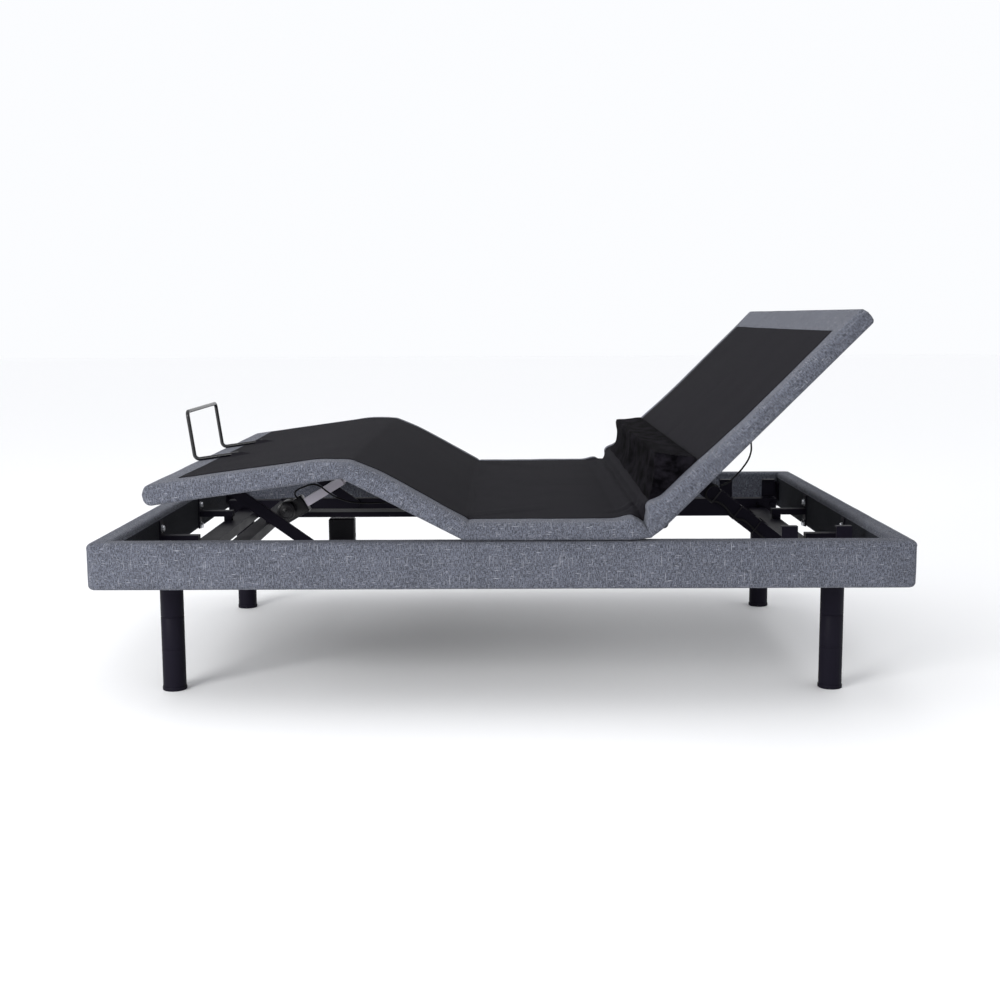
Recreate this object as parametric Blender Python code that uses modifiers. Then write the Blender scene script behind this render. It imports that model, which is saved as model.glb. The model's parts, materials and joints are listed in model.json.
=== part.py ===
"""Queen-size adjustable bed base with a wall-hugging deck, in metres, +Z up.

+X runs to the head end, +Y to the far side, and the origin is on the floor under the
middle of the surround. The deck is modelled with its back and knees raised.
"""

from math import cos, pi, radians, sin

import bmesh
import bpy
from mathutils import Matrix, Vector

for old in list(bpy.data.objects):
    bpy.data.objects.remove(old, do_unlink=True)

# Driving dimensions
GAP = 0.0003                    # air between parts that touch
BED_LENGTH = 2.032              # 80 in
BED_WIDTH = 1.524               # 60 in
RAIL_THICKNESS = 0.055
RAIL_BOTTOM = 0.313
RAIL_TOP = 0.431
RAIL_ROUNDING = 0.012

FRAME_HALF_LENGTH = 0.918
SIDE_INNER = 0.498              # inner and outer faces of the steel side members, from the middle
SIDE_OUTER = 0.538
FRAME_BOTTOM = 0.310
SIDE_TOP = 0.368
END_MEMBER_X = 0.850
END_MEMBER_WIDTH = 0.060
END_MEMBER_TOP = 0.338
TUBE_WALL = 0.002

LEG_X = 0.868
LEG_Y = 0.518
LEG_RADIUS = 0.0303
LEG_JOINT = 0.1975              # height of the seam between the two screwed-together leg pieces
LEG_SEAM = 0.112

BACK_ANGLE = radians(45.0)      # raised angles of the panels above flat
THIGH_ANGLE = radians(27.4)
FOOT_ANGLE = radians(7.9)       # the foot panel falls away from the knee by this much
DECK_Z = 0.433                  # underside of the flat panels
HINGE_DROP = 0.012              # hinge axes lie this far under the panels
PANEL_THICKNESS = 0.045
PANEL_HALF_WIDTH = 0.757
SEAT_FOOT_X = -0.0939           # thigh hinge axis
SEAT_HEAD_X = 0.374             # back hinge axis
THIGH_LENGTH = 0.3328
FOOT_LENGTH = 0.4865
BACK_LENGTH = 0.7445
BACK_MAX = radians(60.0)
THIGH_MAX = radians(35.0)
AXIS_Z = DECK_Z - HINGE_DROP

BEAM_INNER = 0.466              # carriage side beams, from the middle
BEAM_OUTER = 0.490
BEAM_BOTTOM = 0.344
BEAM_TOP = 0.378
CARRIAGE_FOOT_X = -0.737
CARRIAGE_HEAD_X = 0.400

ARM_INNER = 0.415               # panel arms, from the middle
ARM_OUTER = 0.440
ARM_HALF_HEIGHT = 0.0115
PIN_RADIUS = 0.005
PIN_CLEARANCE = 0.0004

STRUT_Y = 0.260
STRUT_FOOT = Vector((0.782, 0, 0.336))
STRUT_ON_BACK = Vector((0.184, 0, -0.018))      # along and above the back hinge axis
LINK_FOOT = Vector((-0.489, 0, 0.362))
LINK_ON_FOOT = Vector((-0.331, 0, -0.003))      # along and above the knee hinge axis
LINK_INNER = 0.4520
LINK_OUTER = 0.4600
LEG_DRIVE_FOOT = Vector((-0.672, 0, 0.376))
LEG_DRIVE_ON_THIGH = Vector((-0.323, 0, -0.031))
HEAD_DRIVE_FOOT = Vector((-0.018, 0, 0.392))
HEAD_DRIVE_ON_BACK = Vector((0.0346, 0, -0.118))
LUMBAR_HINGE = Vector((0.224, 0, 0.0640))
LUMBAR_ANGLE = radians(45.0)

ROUND = 20                      # sides of a turned piece

parts = bpy.data.collections.new("adjustable_bed_base")
cutters = bpy.data.collections.new("cutters")
bpy.context.scene.collection.children.link(parts)
bpy.context.scene.collection.children.link(cutters)


# Materials
def material(name, colour, roughness, metallic=0.0):
    made = bpy.data.materials.new(name)
    made.use_nodes = True
    shader = made.node_tree.nodes["Principled BSDF"]
    shader.inputs["Base Color"].default_value = (*colour, 1)
    shader.inputs["Roughness"].default_value = roughness
    shader.inputs["Metallic"].default_value = metallic
    return made


LINEN = material("grey_linen", (0.20, 0.22, 0.26), 0.9)
PLUSH = material("black_plush", (0.012, 0.011, 0.013), 0.95)
STEEL = material("black_steel", (0.010, 0.010, 0.013), 0.45, 0.3)
ALUMINIUM = material("aluminium", (0.55, 0.55, 0.58), 0.35, 1.0)
PLASTIC = material("black_plastic", (0.012, 0.012, 0.013), 0.5)
NYLON = material("glide_nylon", (0.03, 0.03, 0.03), 0.4)
CABLE = material("cable_jacket", (0.010, 0.010, 0.010), 0.5)


# Joint empties: each stands on its joint's axis, with +X along the piece it carries
def joint_empty(name, place, pitch=0.0, parent=None):
    empty = bpy.data.objects.new(name, None)
    parts.objects.link(empty)
    empty.location = place
    empty.rotation_euler = (0, pitch, 0)
    empty.parent = parent
    return empty


def turned(vector, pitch):
    return Matrix.Rotation(pitch, 3, "Y") @ vector


carriage = joint_empty("carriage_slide_axis", (0, 0, 0))
back = joint_empty("back_hinge_axis", (SEAT_HEAD_X, 0, AXIS_Z), -BACK_ANGLE, carriage)
thigh = joint_empty("thigh_hinge_axis", (SEAT_FOOT_X, 0, AXIS_Z), THIGH_ANGLE, carriage)
knee = joint_empty("knee_hinge_axis", (-THIGH_LENGTH, 0, 0), -THIGH_ANGLE - FOOT_ANGLE, thigh)
lumbar = joint_empty("lumbar_hinge_axis", LUMBAR_HINGE, LUMBAR_ANGLE, back)

back_origin = Vector((SEAT_HEAD_X, 0, AXIS_Z))
thigh_origin = Vector((SEAT_FOOT_X, 0, AXIS_Z))
strut_head = back_origin + turned(STRUT_ON_BACK, -BACK_ANGLE)
leg_drive_head = thigh_origin + turned(LEG_DRIVE_ON_THIGH, THIGH_ANGLE)
head_drive_head = back_origin + turned(HEAD_DRIVE_ON_BACK, -BACK_ANGLE)
knee_origin = thigh_origin + turned(Vector((-THIGH_LENGTH, 0, 0)), THIGH_ANGLE)
link_head = knee_origin + turned(LINK_ON_FOOT, -FOOT_ANGLE)


def along(start, end):
    """Length from start to end, and the pitch that points +X that way."""
    run = end - start
    return run.length, -Vector((run.x, run.z)).angle_signed(Vector((1, 0)))


strut_length, strut_pitch = along(STRUT_FOOT, strut_head)
link_length, link_pitch = along(LINK_FOOT, link_head)
leg_drive_length, leg_drive_pitch = along(LEG_DRIVE_FOOT, leg_drive_head)
head_drive_length, head_drive_pitch = along(HEAD_DRIVE_FOOT, head_drive_head)
struts = joint_empty("strut_pivot_axis", STRUT_FOOT, strut_pitch)
links = joint_empty("foot_link_pivot_axis", LINK_FOOT, link_pitch, carriage)
leg_drive = joint_empty("leg_drive_pivot_axis", LEG_DRIVE_FOOT, leg_drive_pitch, carriage)
head_drive = joint_empty("head_drive_pivot_axis", HEAD_DRIVE_FOOT, head_drive_pitch, carriage)


# Making pieces
def add(name, mesh, finish, parent=None):
    piece = bpy.data.objects.new(name, mesh)
    parts.objects.link(piece)
    piece.parent = parent
    mesh.materials.append(finish)
    return piece


def box(name, low, high, finish, parent=None, bevel=0.0):
    low, high = Vector(low), Vector(high)
    shape = bmesh.new()
    bmesh.ops.create_cube(shape, size=1.0)
    bmesh.ops.scale(shape, vec=high - low, verts=shape.verts)
    bmesh.ops.translate(shape, vec=(low + high) / 2, verts=shape.verts)
    mesh = bpy.data.meshes.new(name)
    shape.to_mesh(mesh)
    shape.free()
    piece = add(name, mesh, finish, parent)
    if bevel:
        rounding = piece.modifiers.new("rounding", "BEVEL")
        rounding.width = bevel
        rounding.segments = 1
    return piece


def open_tube(name, low, high, axis, finish, parent=None, wall=TUBE_WALL):
    """A rectangular tube, open at both ends of its long axis (0, 1 or 2)."""
    piece = box(name, low, high, finish, parent)
    shape = bmesh.new()
    shape.from_mesh(piece.data)
    ends = [face for face in shape.faces if abs(face.normal[axis]) > 0.9]
    bmesh.ops.delete(shape, geom=ends, context="FACES_ONLY")
    shape.to_mesh(piece.data)
    shape.free()
    thickness = piece.modifiers.new("wall", "SOLIDIFY")
    thickness.thickness = wall
    thickness.offset = -1
    thickness.use_even_offset = True
    return piece


def rod(name, centre, radius, length, axis, finish, parent=None, sides=ROUND):
    """A round bar centred at a point, along X, Y or Z."""
    shape = bmesh.new()
    bmesh.ops.create_cone(shape, cap_ends=True, segments=sides, radius1=radius, radius2=radius,
                          depth=length)
    turn = {"X": Matrix.Rotation(pi / 2, 3, "Y"), "Y": Matrix.Rotation(pi / 2, 3, "X"),
            "Z": Matrix.Identity(3)}[axis]
    bmesh.ops.rotate(shape, matrix=turn, verts=shape.verts)
    bmesh.ops.translate(shape, vec=centre, verts=shape.verts)
    mesh = bpy.data.meshes.new(name)
    shape.to_mesh(mesh)
    shape.free()
    mesh.shade_smooth()
    mesh.set_sharp_from_angle(angle=radians(35))
    return add(name, mesh, finish, parent)


def plate(name, outline, low_y, high_y, finish, parent=None):
    """A flat plate whose outline lies in the XZ plane, between two values of Y."""
    curve = bpy.data.curves.new(name, "CURVE")
    curve.dimensions = "2D"
    curve.fill_mode = "BOTH"
    curve.extrude = (high_y - low_y) / 2
    spline = curve.splines.new("POLY")
    spline.points.add(len(outline) - 1)
    for point, (x, z) in zip(spline.points, outline):
        point.co = (x, z, 0, 1)
    spline.use_cyclic_u = True
    flat = bpy.data.objects.new(name + "_outline", curve)
    parts.objects.link(flat)
    bpy.context.view_layer.update()
    ready = flat.evaluated_get(bpy.context.evaluated_depsgraph_get())
    mesh = bpy.data.meshes.new_from_object(ready)
    mesh.name = name
    bpy.data.objects.remove(flat, do_unlink=True)
    shape = bmesh.new()
    shape.from_mesh(mesh)
    bmesh.ops.remove_doubles(shape, verts=shape.verts, dist=0.00005)
    bmesh.ops.rotate(shape, matrix=Matrix.Rotation(pi / 2, 3, "X"), verts=shape.verts)
    bmesh.ops.translate(shape, vec=(0, (low_y + high_y) / 2, 0), verts=shape.verts)
    bmesh.ops.recalc_face_normals(shape, faces=shape.faces)
    shape.to_mesh(mesh)
    shape.free()
    mesh.materials.clear()
    return add(name, mesh, finish, parent)


def wire(name, route, radius, finish, parent=None, resolution=2):
    curve = bpy.data.curves.new(name, "CURVE")
    curve.dimensions = "3D"
    curve.bevel_depth = radius
    curve.bevel_resolution = resolution
    curve.use_fill_caps = True
    spline = curve.splines.new("POLY")
    spline.points.add(len(route) - 1)
    for point, place in zip(spline.points, route):
        point.co = (*place, 1)
    piece = bpy.data.objects.new(name, curve)
    parts.objects.link(piece)
    piece.parent = parent
    curve.materials.append(finish)
    return piece


def combine(piece, other, operation):
    parts.objects.unlink(other)
    cutters.objects.link(other)
    other.hide_render = True
    other.display_type = "WIRE"
    step = piece.modifiers.new(operation.lower(), "BOOLEAN")
    step.operation = operation
    step.solver = "EXACT"
    step.object = other


def fuse(piece, *others):
    for other in others:
        combine(piece, other, "UNION")
    return piece


def cut(piece, *others):
    for other in others:
        combine(piece, other, "DIFFERENCE")
    return piece


def span(side, inner, outer):
    """Low and high Y of a piece that lies between two distances from the middle."""
    return (inner, outer) if side > 0 else (-outer, -inner)


def arc(centre, radius, start, end, steps):
    turns = [radians(start + (end - start) * step / steps) for step in range(steps + 1)]
    return [(centre[0] + radius * cos(turn), centre[1] + radius * sin(turn)) for turn in turns]


SIDES = {"near": -1, "far": 1}
ENDS = {"foot": -1, "head": 1}


# Surround: four padded rails with mitred corners
def surround_rail(name, across):
    """A rail along X (across False) or along Y (across True), cut at 45 degrees at both ends."""
    half_long = (BED_WIDTH if across else BED_LENGTH) / 2
    outer = (BED_LENGTH if across else BED_WIDTH) / 2
    sign = -1 if name in ("side_rail_near", "foot_rail") else 1
    shape = bmesh.new()
    bmesh.ops.create_cube(shape, size=1.0)
    bmesh.ops.scale(shape, vec=(2 * half_long + 0.1, RAIL_THICKNESS, RAIL_TOP - RAIL_BOTTOM),
                    verts=shape.verts)
    long_edges = [edge for edge in shape.edges
                  if abs((edge.verts[0].co - edge.verts[1].co).x) > half_long]
    bmesh.ops.bevel(shape, geom=long_edges, offset=RAIL_ROUNDING, segments=3, profile=0.5,
                    affect="EDGES")
    middle = outer - RAIL_THICKNESS / 2
    bmesh.ops.translate(shape, vec=(0, middle, (RAIL_TOP + RAIL_BOTTOM) / 2), verts=shape.verts)
    trim = GAP if across else 0.0
    for end in (-1, 1):
        corner = Vector((end * (half_long - trim), outer, 0))
        normal = Vector((end, -1, 0)).normalized()
        cut_off = bmesh.ops.bisect_plane(shape, geom=shape.verts[:] + shape.edges[:] + shape.faces[:],
                                         plane_co=corner, plane_no=normal, clear_outer=True)
        rim = [item for item in cut_off["geom_cut"] if isinstance(item, bmesh.types.BMEdge)]
        bmesh.ops.edgeloop_fill(shape, edges=rim)
    quarter = {(False, 1): 0, (False, -1): pi, (True, 1): -pi / 2, (True, -1): pi / 2}
    bmesh.ops.rotate(shape, matrix=Matrix.Rotation(quarter[across, sign], 3, "Z"), verts=shape.verts)
    bmesh.ops.recalc_face_normals(shape, faces=shape.faces)
    mesh = bpy.data.meshes.new(name)
    shape.to_mesh(mesh)
    shape.free()
    mesh.shade_smooth()
    mesh.set_sharp_from_angle(angle=radians(40))
    return add(name, mesh, LINEN)


for rail_name, runs_across in (("side_rail_near", False), ("side_rail_far", False),
                               ("foot_rail", True), ("head_rail", True)):
    surround_rail(rail_name, runs_across)

# Angle brackets inside the corners of the surround
INNER_X = BED_LENGTH / 2 - RAIL_THICKNESS - GAP
INNER_Y = BED_WIDTH / 2 - RAIL_THICKNESS - GAP
BRACKET_LEG = 0.045
BRACKET_SHEET = 0.003
for end_name, end in ENDS.items():
    for side_name, side in SIDES.items():
        xs = sorted((end * INNER_X, end * (INNER_X - BRACKET_LEG)))
        ys = sorted((side * INNER_Y, side * (INNER_Y - BRACKET_SHEET)))
        x2 = sorted((end * INNER_X, end * (INNER_X - BRACKET_SHEET)))
        y2 = sorted((side * INNER_Y, side * (INNER_Y - BRACKET_LEG)))
        name = f"corner_bracket_{end_name}_{side_name}"
        low_z, high_z = RAIL_BOTTOM + 0.025, RAIL_TOP - 0.030
        on_side = box(name, (xs[0], ys[0], low_z), (xs[1], ys[1], high_z), STEEL)
        on_end = box(name + "_end", (x2[0], y2[0], low_z), (x2[1], y2[1], high_z), STEEL)
        fuse(on_side, on_end)

# Welded base frame
for side_name, side in SIDES.items():
    low_y, high_y = span(side, SIDE_INNER, SIDE_OUTER)
    open_tube(f"frame_side_{side_name}", (-FRAME_HALF_LENGTH, low_y, FRAME_BOTTOM),
              (FRAME_HALF_LENGTH, high_y, SIDE_TOP), 0, STEEL)
for end_name, end in ENDS.items():
    low_x, high_x = sorted((end * (END_MEMBER_X - END_MEMBER_WIDTH / 2),
                            end * (END_MEMBER_X + END_MEMBER_WIDTH / 2)))
    open_tube(f"frame_end_{end_name}", (low_x, GAP - SIDE_INNER, FRAME_BOTTOM),
              (high_x, SIDE_INNER - GAP, END_MEMBER_TOP), 1, STEEL)

# Arms that carry the end rails on the base frame, each with two bolts through its plate
RAIL_ARM_Y = 0.245
BOLT_RADIUS = 0.007
for end_name, end in ENDS.items():
    for side_name, side in SIDES.items():
        name = f"rail_arm_{end_name}_{side_name}"
        y = side * RAIL_ARM_Y

        def slab(part, x1, x2, half_y, z1, z2):
            xs = sorted((end * x1, end * x2))
            return box(name + part, (xs[0], y - half_y, z1), (xs[1], y + half_y, z2), STEEL)

        arm = slab("", 0.852, INNER_X - 0.001, 0.015, 0.352, 0.370)
        foot = slab("_foot", 0.857, 0.880, 0.014, END_MEMBER_TOP + GAP, 0.353)
        back_plate = slab("_plate", INNER_X - 0.004, INNER_X, 0.018, 0.314, 0.412)
        bolts = [rod(f"{name}_bolt_{z:.3f}", (end * (INNER_X - 0.006), y, z), BOLT_RADIUS, 0.008,
                     "X", STEEL, sides=12) for z in (0.388, 0.323)]
        fuse(arm, foot, back_plate, *bolts)

# Upright brackets on the side members, on which the flat back panel comes to rest
for number, (low_x, high_x) in enumerate(((0.731, 0.773), (0.873, 0.914)), start=1):
    for side_name, side in SIDES.items():
        name = f"deck_upright_{number}_{side_name}"

        def sheet(part, y1, y2, z1, z2):
            ys = sorted((side * y1, side * y2))
            return box(name + part, (low_x, ys[0], z1), (high_x, ys[1], z2), STEEL)

        upright = sheet("", 0.520, 0.524, SIDE_TOP + GAP, 0.431)
        base = sheet("_base", 0.502, 0.521, SIDE_TOP + GAP, SIDE_TOP + 0.004)
        lip = sheet("_lip", 0.504, 0.521, 0.427, 0.431)
        fuse(upright, base, lip)


# Legs: two turned pieces each, screwed together and into the base frame
def turned_piece(name, profile, place, finish):
    mesh = bpy.data.meshes.new(name)
    points = [(radius, 0, height) for radius, height in profile]
    mesh.from_pydata(points, [(i, i + 1) for i in range(len(points) - 1)], [])
    mesh.polygons.foreach_set("use_smooth", [True] * len(mesh.polygons))
    piece = add(name, mesh, finish)
    piece.location = place
    screw = piece.modifiers.new("turn", "SCREW")
    screw.steps = ROUND
    screw.render_steps = ROUND
    screw.use_merge_vertices = True
    screw.merge_threshold = 0.0001
    return piece


GLIDE_HEIGHT = 0.010
SEAM_DEPTH = 0.0008
lower_leg = [(0, LEG_JOINT), (LEG_RADIUS, LEG_JOINT), (LEG_RADIUS, LEG_SEAM + 0.001),
             (LEG_RADIUS - SEAM_DEPTH, LEG_SEAM), (LEG_RADIUS, LEG_SEAM - 0.001),
             (LEG_RADIUS, GLIDE_HEIGHT), (LEG_RADIUS + 0.0015, GLIDE_HEIGHT),
             (LEG_RADIUS + 0.0015, 0.002), (LEG_RADIUS - 0.001, 0), (0, 0)]
upper_leg = [(0, FRAME_BOTTOM - GAP), (LEG_RADIUS, FRAME_BOTTOM - GAP),
             (LEG_RADIUS, LEG_JOINT + 0.001), (LEG_RADIUS - SEAM_DEPTH, LEG_JOINT + GAP),
             (0, LEG_JOINT + GAP)]
for end_name, end in ENDS.items():
    for side_name, side in SIDES.items():
        place = (end * LEG_X, side * LEG_Y, 0)
        turned_piece(f"leg_lower_{end_name}_{side_name}", lower_leg, place, STEEL)
        turned_piece(f"leg_upper_{end_name}_{side_name}", upper_leg, place, STEEL)

# Nylon strips on the side members, on which the carriage slides
for side_name, side in SIDES.items():
    low_y, high_y = span(side, 0.464, SIDE_INNER - GAP)
    box(f"glide_{side_name}", (-0.700, low_y, 0.332), (0.450, high_y, BEAM_BOTTOM - GAP), NYLON)

# Ears on the head end member, with the pins that the two struts turn on
STRUT_HALF_WIDTH = 0.013
EAR = 0.004
for side_name, side in SIDES.items():
    name = f"strut_bracket_{side_name}"
    y = side * STRUT_Y
    member_face = END_MEMBER_X - END_MEMBER_WIDTH / 2 - GAP
    outline = [(member_face, 0.313), (member_face, 0.334)]
    outline += arc((STRUT_FOOT.x, STRUT_FOOT.z), 0.014, 80, 280, 8)
    ears = [plate(f"{name}_{label}" if label else name, outline, y + low, y + high, STEEL)
            for label, low, high in (("", STRUT_HALF_WIDTH + 0.001, STRUT_HALF_WIDTH + 0.001 + EAR),
                                     ("ear", -STRUT_HALF_WIDTH - 0.001 - EAR, -STRUT_HALF_WIDTH - 0.001))]
    web = box(name + "_web", (member_face - 0.004, y - 0.017, 0.313), (member_face, y + 0.017, 0.334),
              STEEL)
    pin = rod(name + "_pin", (STRUT_FOOT.x, y, STRUT_FOOT.z), PIN_RADIUS, 0.046, "Y", STEEL, sides=12)
    fuse(ears[0], ears[1], web, pin)


# Carriage: the part of the frame that slides towards the wall as the back rises
beams = {}
for side_name, side in SIDES.items():
    low_y, high_y = span(side, BEAM_INNER, BEAM_OUTER)
    beams[side_name] = open_tube(f"carriage_beam_{side_name}", (CARRIAGE_FOOT_X, low_y, BEAM_BOTTOM),
                                 (CARRIAGE_HEAD_X, high_y, BEAM_TOP), 0, STEEL, carriage)

EAR_RADIUS = 0.0112


def hinge_ears(name, face_x, axis_x):
    """Two ears and a pin at each end of a cross member, for one panel's arms."""
    reach = 1 if axis_x > face_x else -1
    pieces = []
    for side_name, side in SIDES.items():
        for label, inner in (("in", ARM_INNER - 0.006), ("out", ARM_OUTER + 0.001)):
            low_y, high_y = span(side, inner, inner + 0.005)
            start = face_x - reach * 0.001
            outline = [(start, AXIS_Z - EAR_RADIUS), (start, AXIS_Z + EAR_RADIUS)]
            turn = (90, -90) if reach > 0 else (90, 270)
            outline += arc((axis_x, AXIS_Z), EAR_RADIUS, *turn, 8)
            pieces.append(plate(f"{name}_{side_name}_{label}", outline, low_y, high_y, STEEL, carriage))
        middle = side * (ARM_INNER + ARM_OUTER) / 2
        pieces.append(rod(f"{name}_{side_name}_pin", (axis_x, middle, AXIS_Z), PIN_RADIUS,
                          ARM_OUTER - ARM_INNER + 0.018, "Y", STEEL, carriage, sides=12))
    return pieces


def drive_ears(name, start, pivot, half_gap):
    """Two ears and a pin in the middle of a cross member, for one linear drive."""
    outline = [(start, pivot.z - 0.012), (start, pivot.z + 0.012)]
    outline += arc((pivot.x, pivot.z), 0.012, 90, -90, 8)
    ears = [plate(f"{name}_{label}", outline, *span(side, half_gap, half_gap + EAR), STEEL, carriage)
            for label, side in SIDES.items()]
    pin = rod(name + "_pin", (pivot.x, 0, pivot.z), PIN_RADIUS, 2 * half_gap + 0.014, "Y", STEEL,
              carriage, sides=12)
    return [*ears, pin]


CROSS_TOP = DECK_Z - GAP
DRIVE_HALF_GAP = 0.014
cross_foot = open_tube("carriage_cross_foot", (CARRIAGE_FOOT_X, GAP - BEAM_INNER, BEAM_BOTTOM),
                       (-0.690, BEAM_INNER - GAP, 0.372), 1, STEEL, carriage)
foot_ears = drive_ears("cross_foot_ear", -0.691, LEG_DRIVE_FOOT, DRIVE_HALF_GAP)
foot_post = box("cross_foot_post", (-0.704, -0.018, 0.371), (-0.6902, 0.018, 0.388), STEEL, carriage)
fuse(cross_foot, foot_post, *foot_ears)
cross_mid = open_tube("carriage_cross_mid", (-0.080, -BEAM_OUTER, BEAM_TOP + GAP),
                      (-0.040, BEAM_OUTER, CROSS_TOP), 1, STEEL, carriage)
fuse(cross_mid, *hinge_ears("thigh_ear", -0.080, SEAT_FOOT_X),
     *drive_ears("cross_mid_ear", -0.041, HEAD_DRIVE_FOOT, DRIVE_HALF_GAP))
cross_head = open_tube("carriage_cross_head", (0.315, -BEAM_OUTER, 0.406),
                       (0.355, BEAM_OUTER, CROSS_TOP), 1, STEEL, carriage)
posts = [box(f"cross_head_post_{side_name}", (0.315, span(side, BEAM_INNER, BEAM_OUTER)[0], BEAM_TOP + GAP),
             (0.355, span(side, BEAM_INNER, BEAM_OUTER)[1], 0.407), STEEL, carriage)
         for side_name, side in SIDES.items()]
fuse(cross_head, *posts, *hinge_ears("back_ear", 0.355, SEAT_HEAD_X))

# Control box on a bracket welded to the near beam, with a round low-voltage inlet
BOX_LOW = Vector((-0.480, -0.300, 0.3503))
BOX_HIGH = Vector((-0.407, -0.268, 0.423))
shelf = box("control_shelf", (BOX_LOW.x, -BEAM_INNER - 0.001, 0.3455), (BOX_HIGH.x, BOX_HIGH.y, 0.350),
            STEEL, carriage)
fuse(beams["near"], shelf)
control = box("control_box", BOX_LOW, BOX_HIGH, PLASTIC, carriage, bevel=0.004)
inlet_place = (BOX_HIGH.x, (BOX_LOW.y + BOX_HIGH.y) / 2, 0.375)
cut(control, rod("inlet_socket", inlet_place, 0.007, 0.020, "X", PLASTIC, carriage, sides=16))


# Upholstered deck panels. Their ends lean back so that they clear each other at full tilt.
def deck_panel(name, parent, low_end, high_end, lean_low, lean_high, base):
    """A panel from low_end to high_end along X, whose ends lean in by the given angles."""
    panel = box(name, (low_end, -PANEL_HALF_WIDTH, base), (high_end, PANEL_HALF_WIDTH,
                base + PANEL_THICKNESS), LINEN, parent)
    for vertex in panel.data.vertices:
        height = vertex.co.z - (base - HINGE_DROP)
        if vertex.co.x < (low_end + high_end) / 2:
            vertex.co.x += height * sin(lean_low) / cos(lean_low)
        else:
            vertex.co.x -= height * sin(lean_high) / cos(lean_high)
    return panel


SEAM = 0.001
deck_panel("seat_panel", carriage, SEAT_FOOT_X + SEAM, SEAT_HEAD_X - SEAM,
           THIGH_MAX / 2, BACK_MAX / 2, DECK_Z)
deck_panel("back_panel", back, SEAM, BACK_LENGTH, BACK_MAX / 2, 0, HINGE_DROP)
deck_panel("thigh_panel", thigh, SEAM - THIGH_LENGTH, -SEAM, 0, THIGH_MAX / 2, HINGE_DROP)
deck_panel("foot_panel", knee, -FOOT_LENGTH, -SEAM, 0, 0, HINGE_DROP)

ARM_TOP = HINGE_DROP - GAP


def arm_with_eye(name, start, end, inner, outer, parent, round_end=False):
    """A flat arm from the hinge eye at start, with a square or a rounded far end."""
    pieces = []
    reach = 1 if end > start else -1
    for side_name, side in SIDES.items():
        turn = (90, 270) if reach > 0 else (90, -90)
        if round_end:
            far_turn = (turn[1], turn[1] + turn[1] - turn[0])
            outline = arc((end, 0), ARM_HALF_HEIGHT, *far_turn, 8)
        else:
            outline = [(end, -ARM_HALF_HEIGHT), (end, ARM_TOP)]
        outline += arc((start, 0), ARM_HALF_HEIGHT, *turn, 8)
        pieces.append(plate(f"{name}_{side_name}", outline, *span(side, inner, outer), STEEL, parent))
    return pieces


def eye_holes(name, x, parent):
    return [rod(f"{name}_hole_{side_name}", (x, side * 0.42, 0), PIN_RADIUS + PIN_CLEARANCE, 0.1, "Y",
                STEEL, parent, sides=12) for side_name, side in SIDES.items()]


# Steel under the back panel: two arms, a cross tube, ears for the struts and the drive's lever
back_arms = arm_with_eye("back_arm", 0.0, 0.520, ARM_INNER + GAP, ARM_OUTER - GAP, back)
back_frame = box("back_frame", (0.100, -ARM_INNER - 0.002, -0.010), (0.128, ARM_INNER + 0.002, ARM_TOP),
                 STEEL, back)
strut_ears = []
for side in SIDES.values():
    for inner in (STRUT_Y - 0.020, STRUT_Y + 0.016):
        outline = [(0.120, ARM_TOP), (0.120, -0.009), (0.168, -0.030), (0.196, -0.030), (0.200, ARM_TOP)]
        strut_ears.append(plate("strut_ear", outline, *span(side, inner, inner + EAR), STEEL, back))
tip = (HEAD_DRIVE_ON_BACK.x, HEAD_DRIVE_ON_BACK.z)
lever_outline = [(0.115, ARM_TOP), (0.022, ARM_TOP), (0.0206, tip[1])]
lever_outline += arc(tip, 0.014, 190, 370, 8)
lever_outline += [(0.062, -0.030), (0.115, -0.009)]
levers = [plate("back_lever", lever_outline, *span(side, 0.016, 0.020), STEEL, back)
          for side in SIDES.values()]
fuse(back_frame, *back_arms, *strut_ears, *levers)
cut(back_frame, *eye_holes("back", 0.0, back))

# Steel under the thigh panel: two arms with knee pins, a cross tube and the drive's lever
thigh_arms = arm_with_eye("thigh_arm", 0.0, -THIGH_LENGTH, ARM_INNER + GAP, ARM_OUTER - GAP, thigh,
                          round_end=True)
thigh_frame = box("thigh_frame", (-0.275, -ARM_INNER - 0.002, -0.010), (-0.250, ARM_INNER + 0.002,
                  ARM_TOP), STEEL, thigh)
tip = (LEG_DRIVE_ON_THIGH.x, LEG_DRIVE_ON_THIGH.z)
lever_outline = [(-0.260, -0.009), (-0.260, ARM_TOP), (-0.326, ARM_TOP), (-0.336, -0.006), (-0.336, tip[1])]
lever_outline += arc(tip, 0.013, 180, 340, 8)
thigh_levers = [plate("thigh_lever", lever_outline, *span(side, 0.016, 0.020), STEEL, thigh)
                for side in SIDES.values()]
knee_pins = [rod("knee_pin", (-THIGH_LENGTH, side * 0.403, 0), PIN_RADIUS, 0.034, "Y", STEEL, thigh,
                 sides=12) for side in SIDES.values()]
fuse(thigh_frame, *thigh_arms, *thigh_levers, *knee_pins)
cut(thigh_frame, *eye_holes("thigh", 0.0, thigh))

# Steel under the foot panel: two arms on the knee pins, a cross tube and the links' lugs
FOOT_ARM_INNER = 0.388
FOOT_ARM_OUTER = 0.4140
foot_arms = arm_with_eye("foot_arm", 0.0, -0.360, FOOT_ARM_INNER, FOOT_ARM_OUTER, knee)
foot_frame = box("foot_frame", (-0.345, -0.4515, -0.010), (-0.317, 0.4515, ARM_TOP), STEEL, knee)
fuse(foot_frame, *foot_arms)
cut(foot_frame, *[rod("knee_hole", (0, side * 0.40, 0), PIN_RADIUS + PIN_CLEARANCE, 0.06, "Y", STEEL,
                      knee, sides=12) for side in SIDES.values()])

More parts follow.
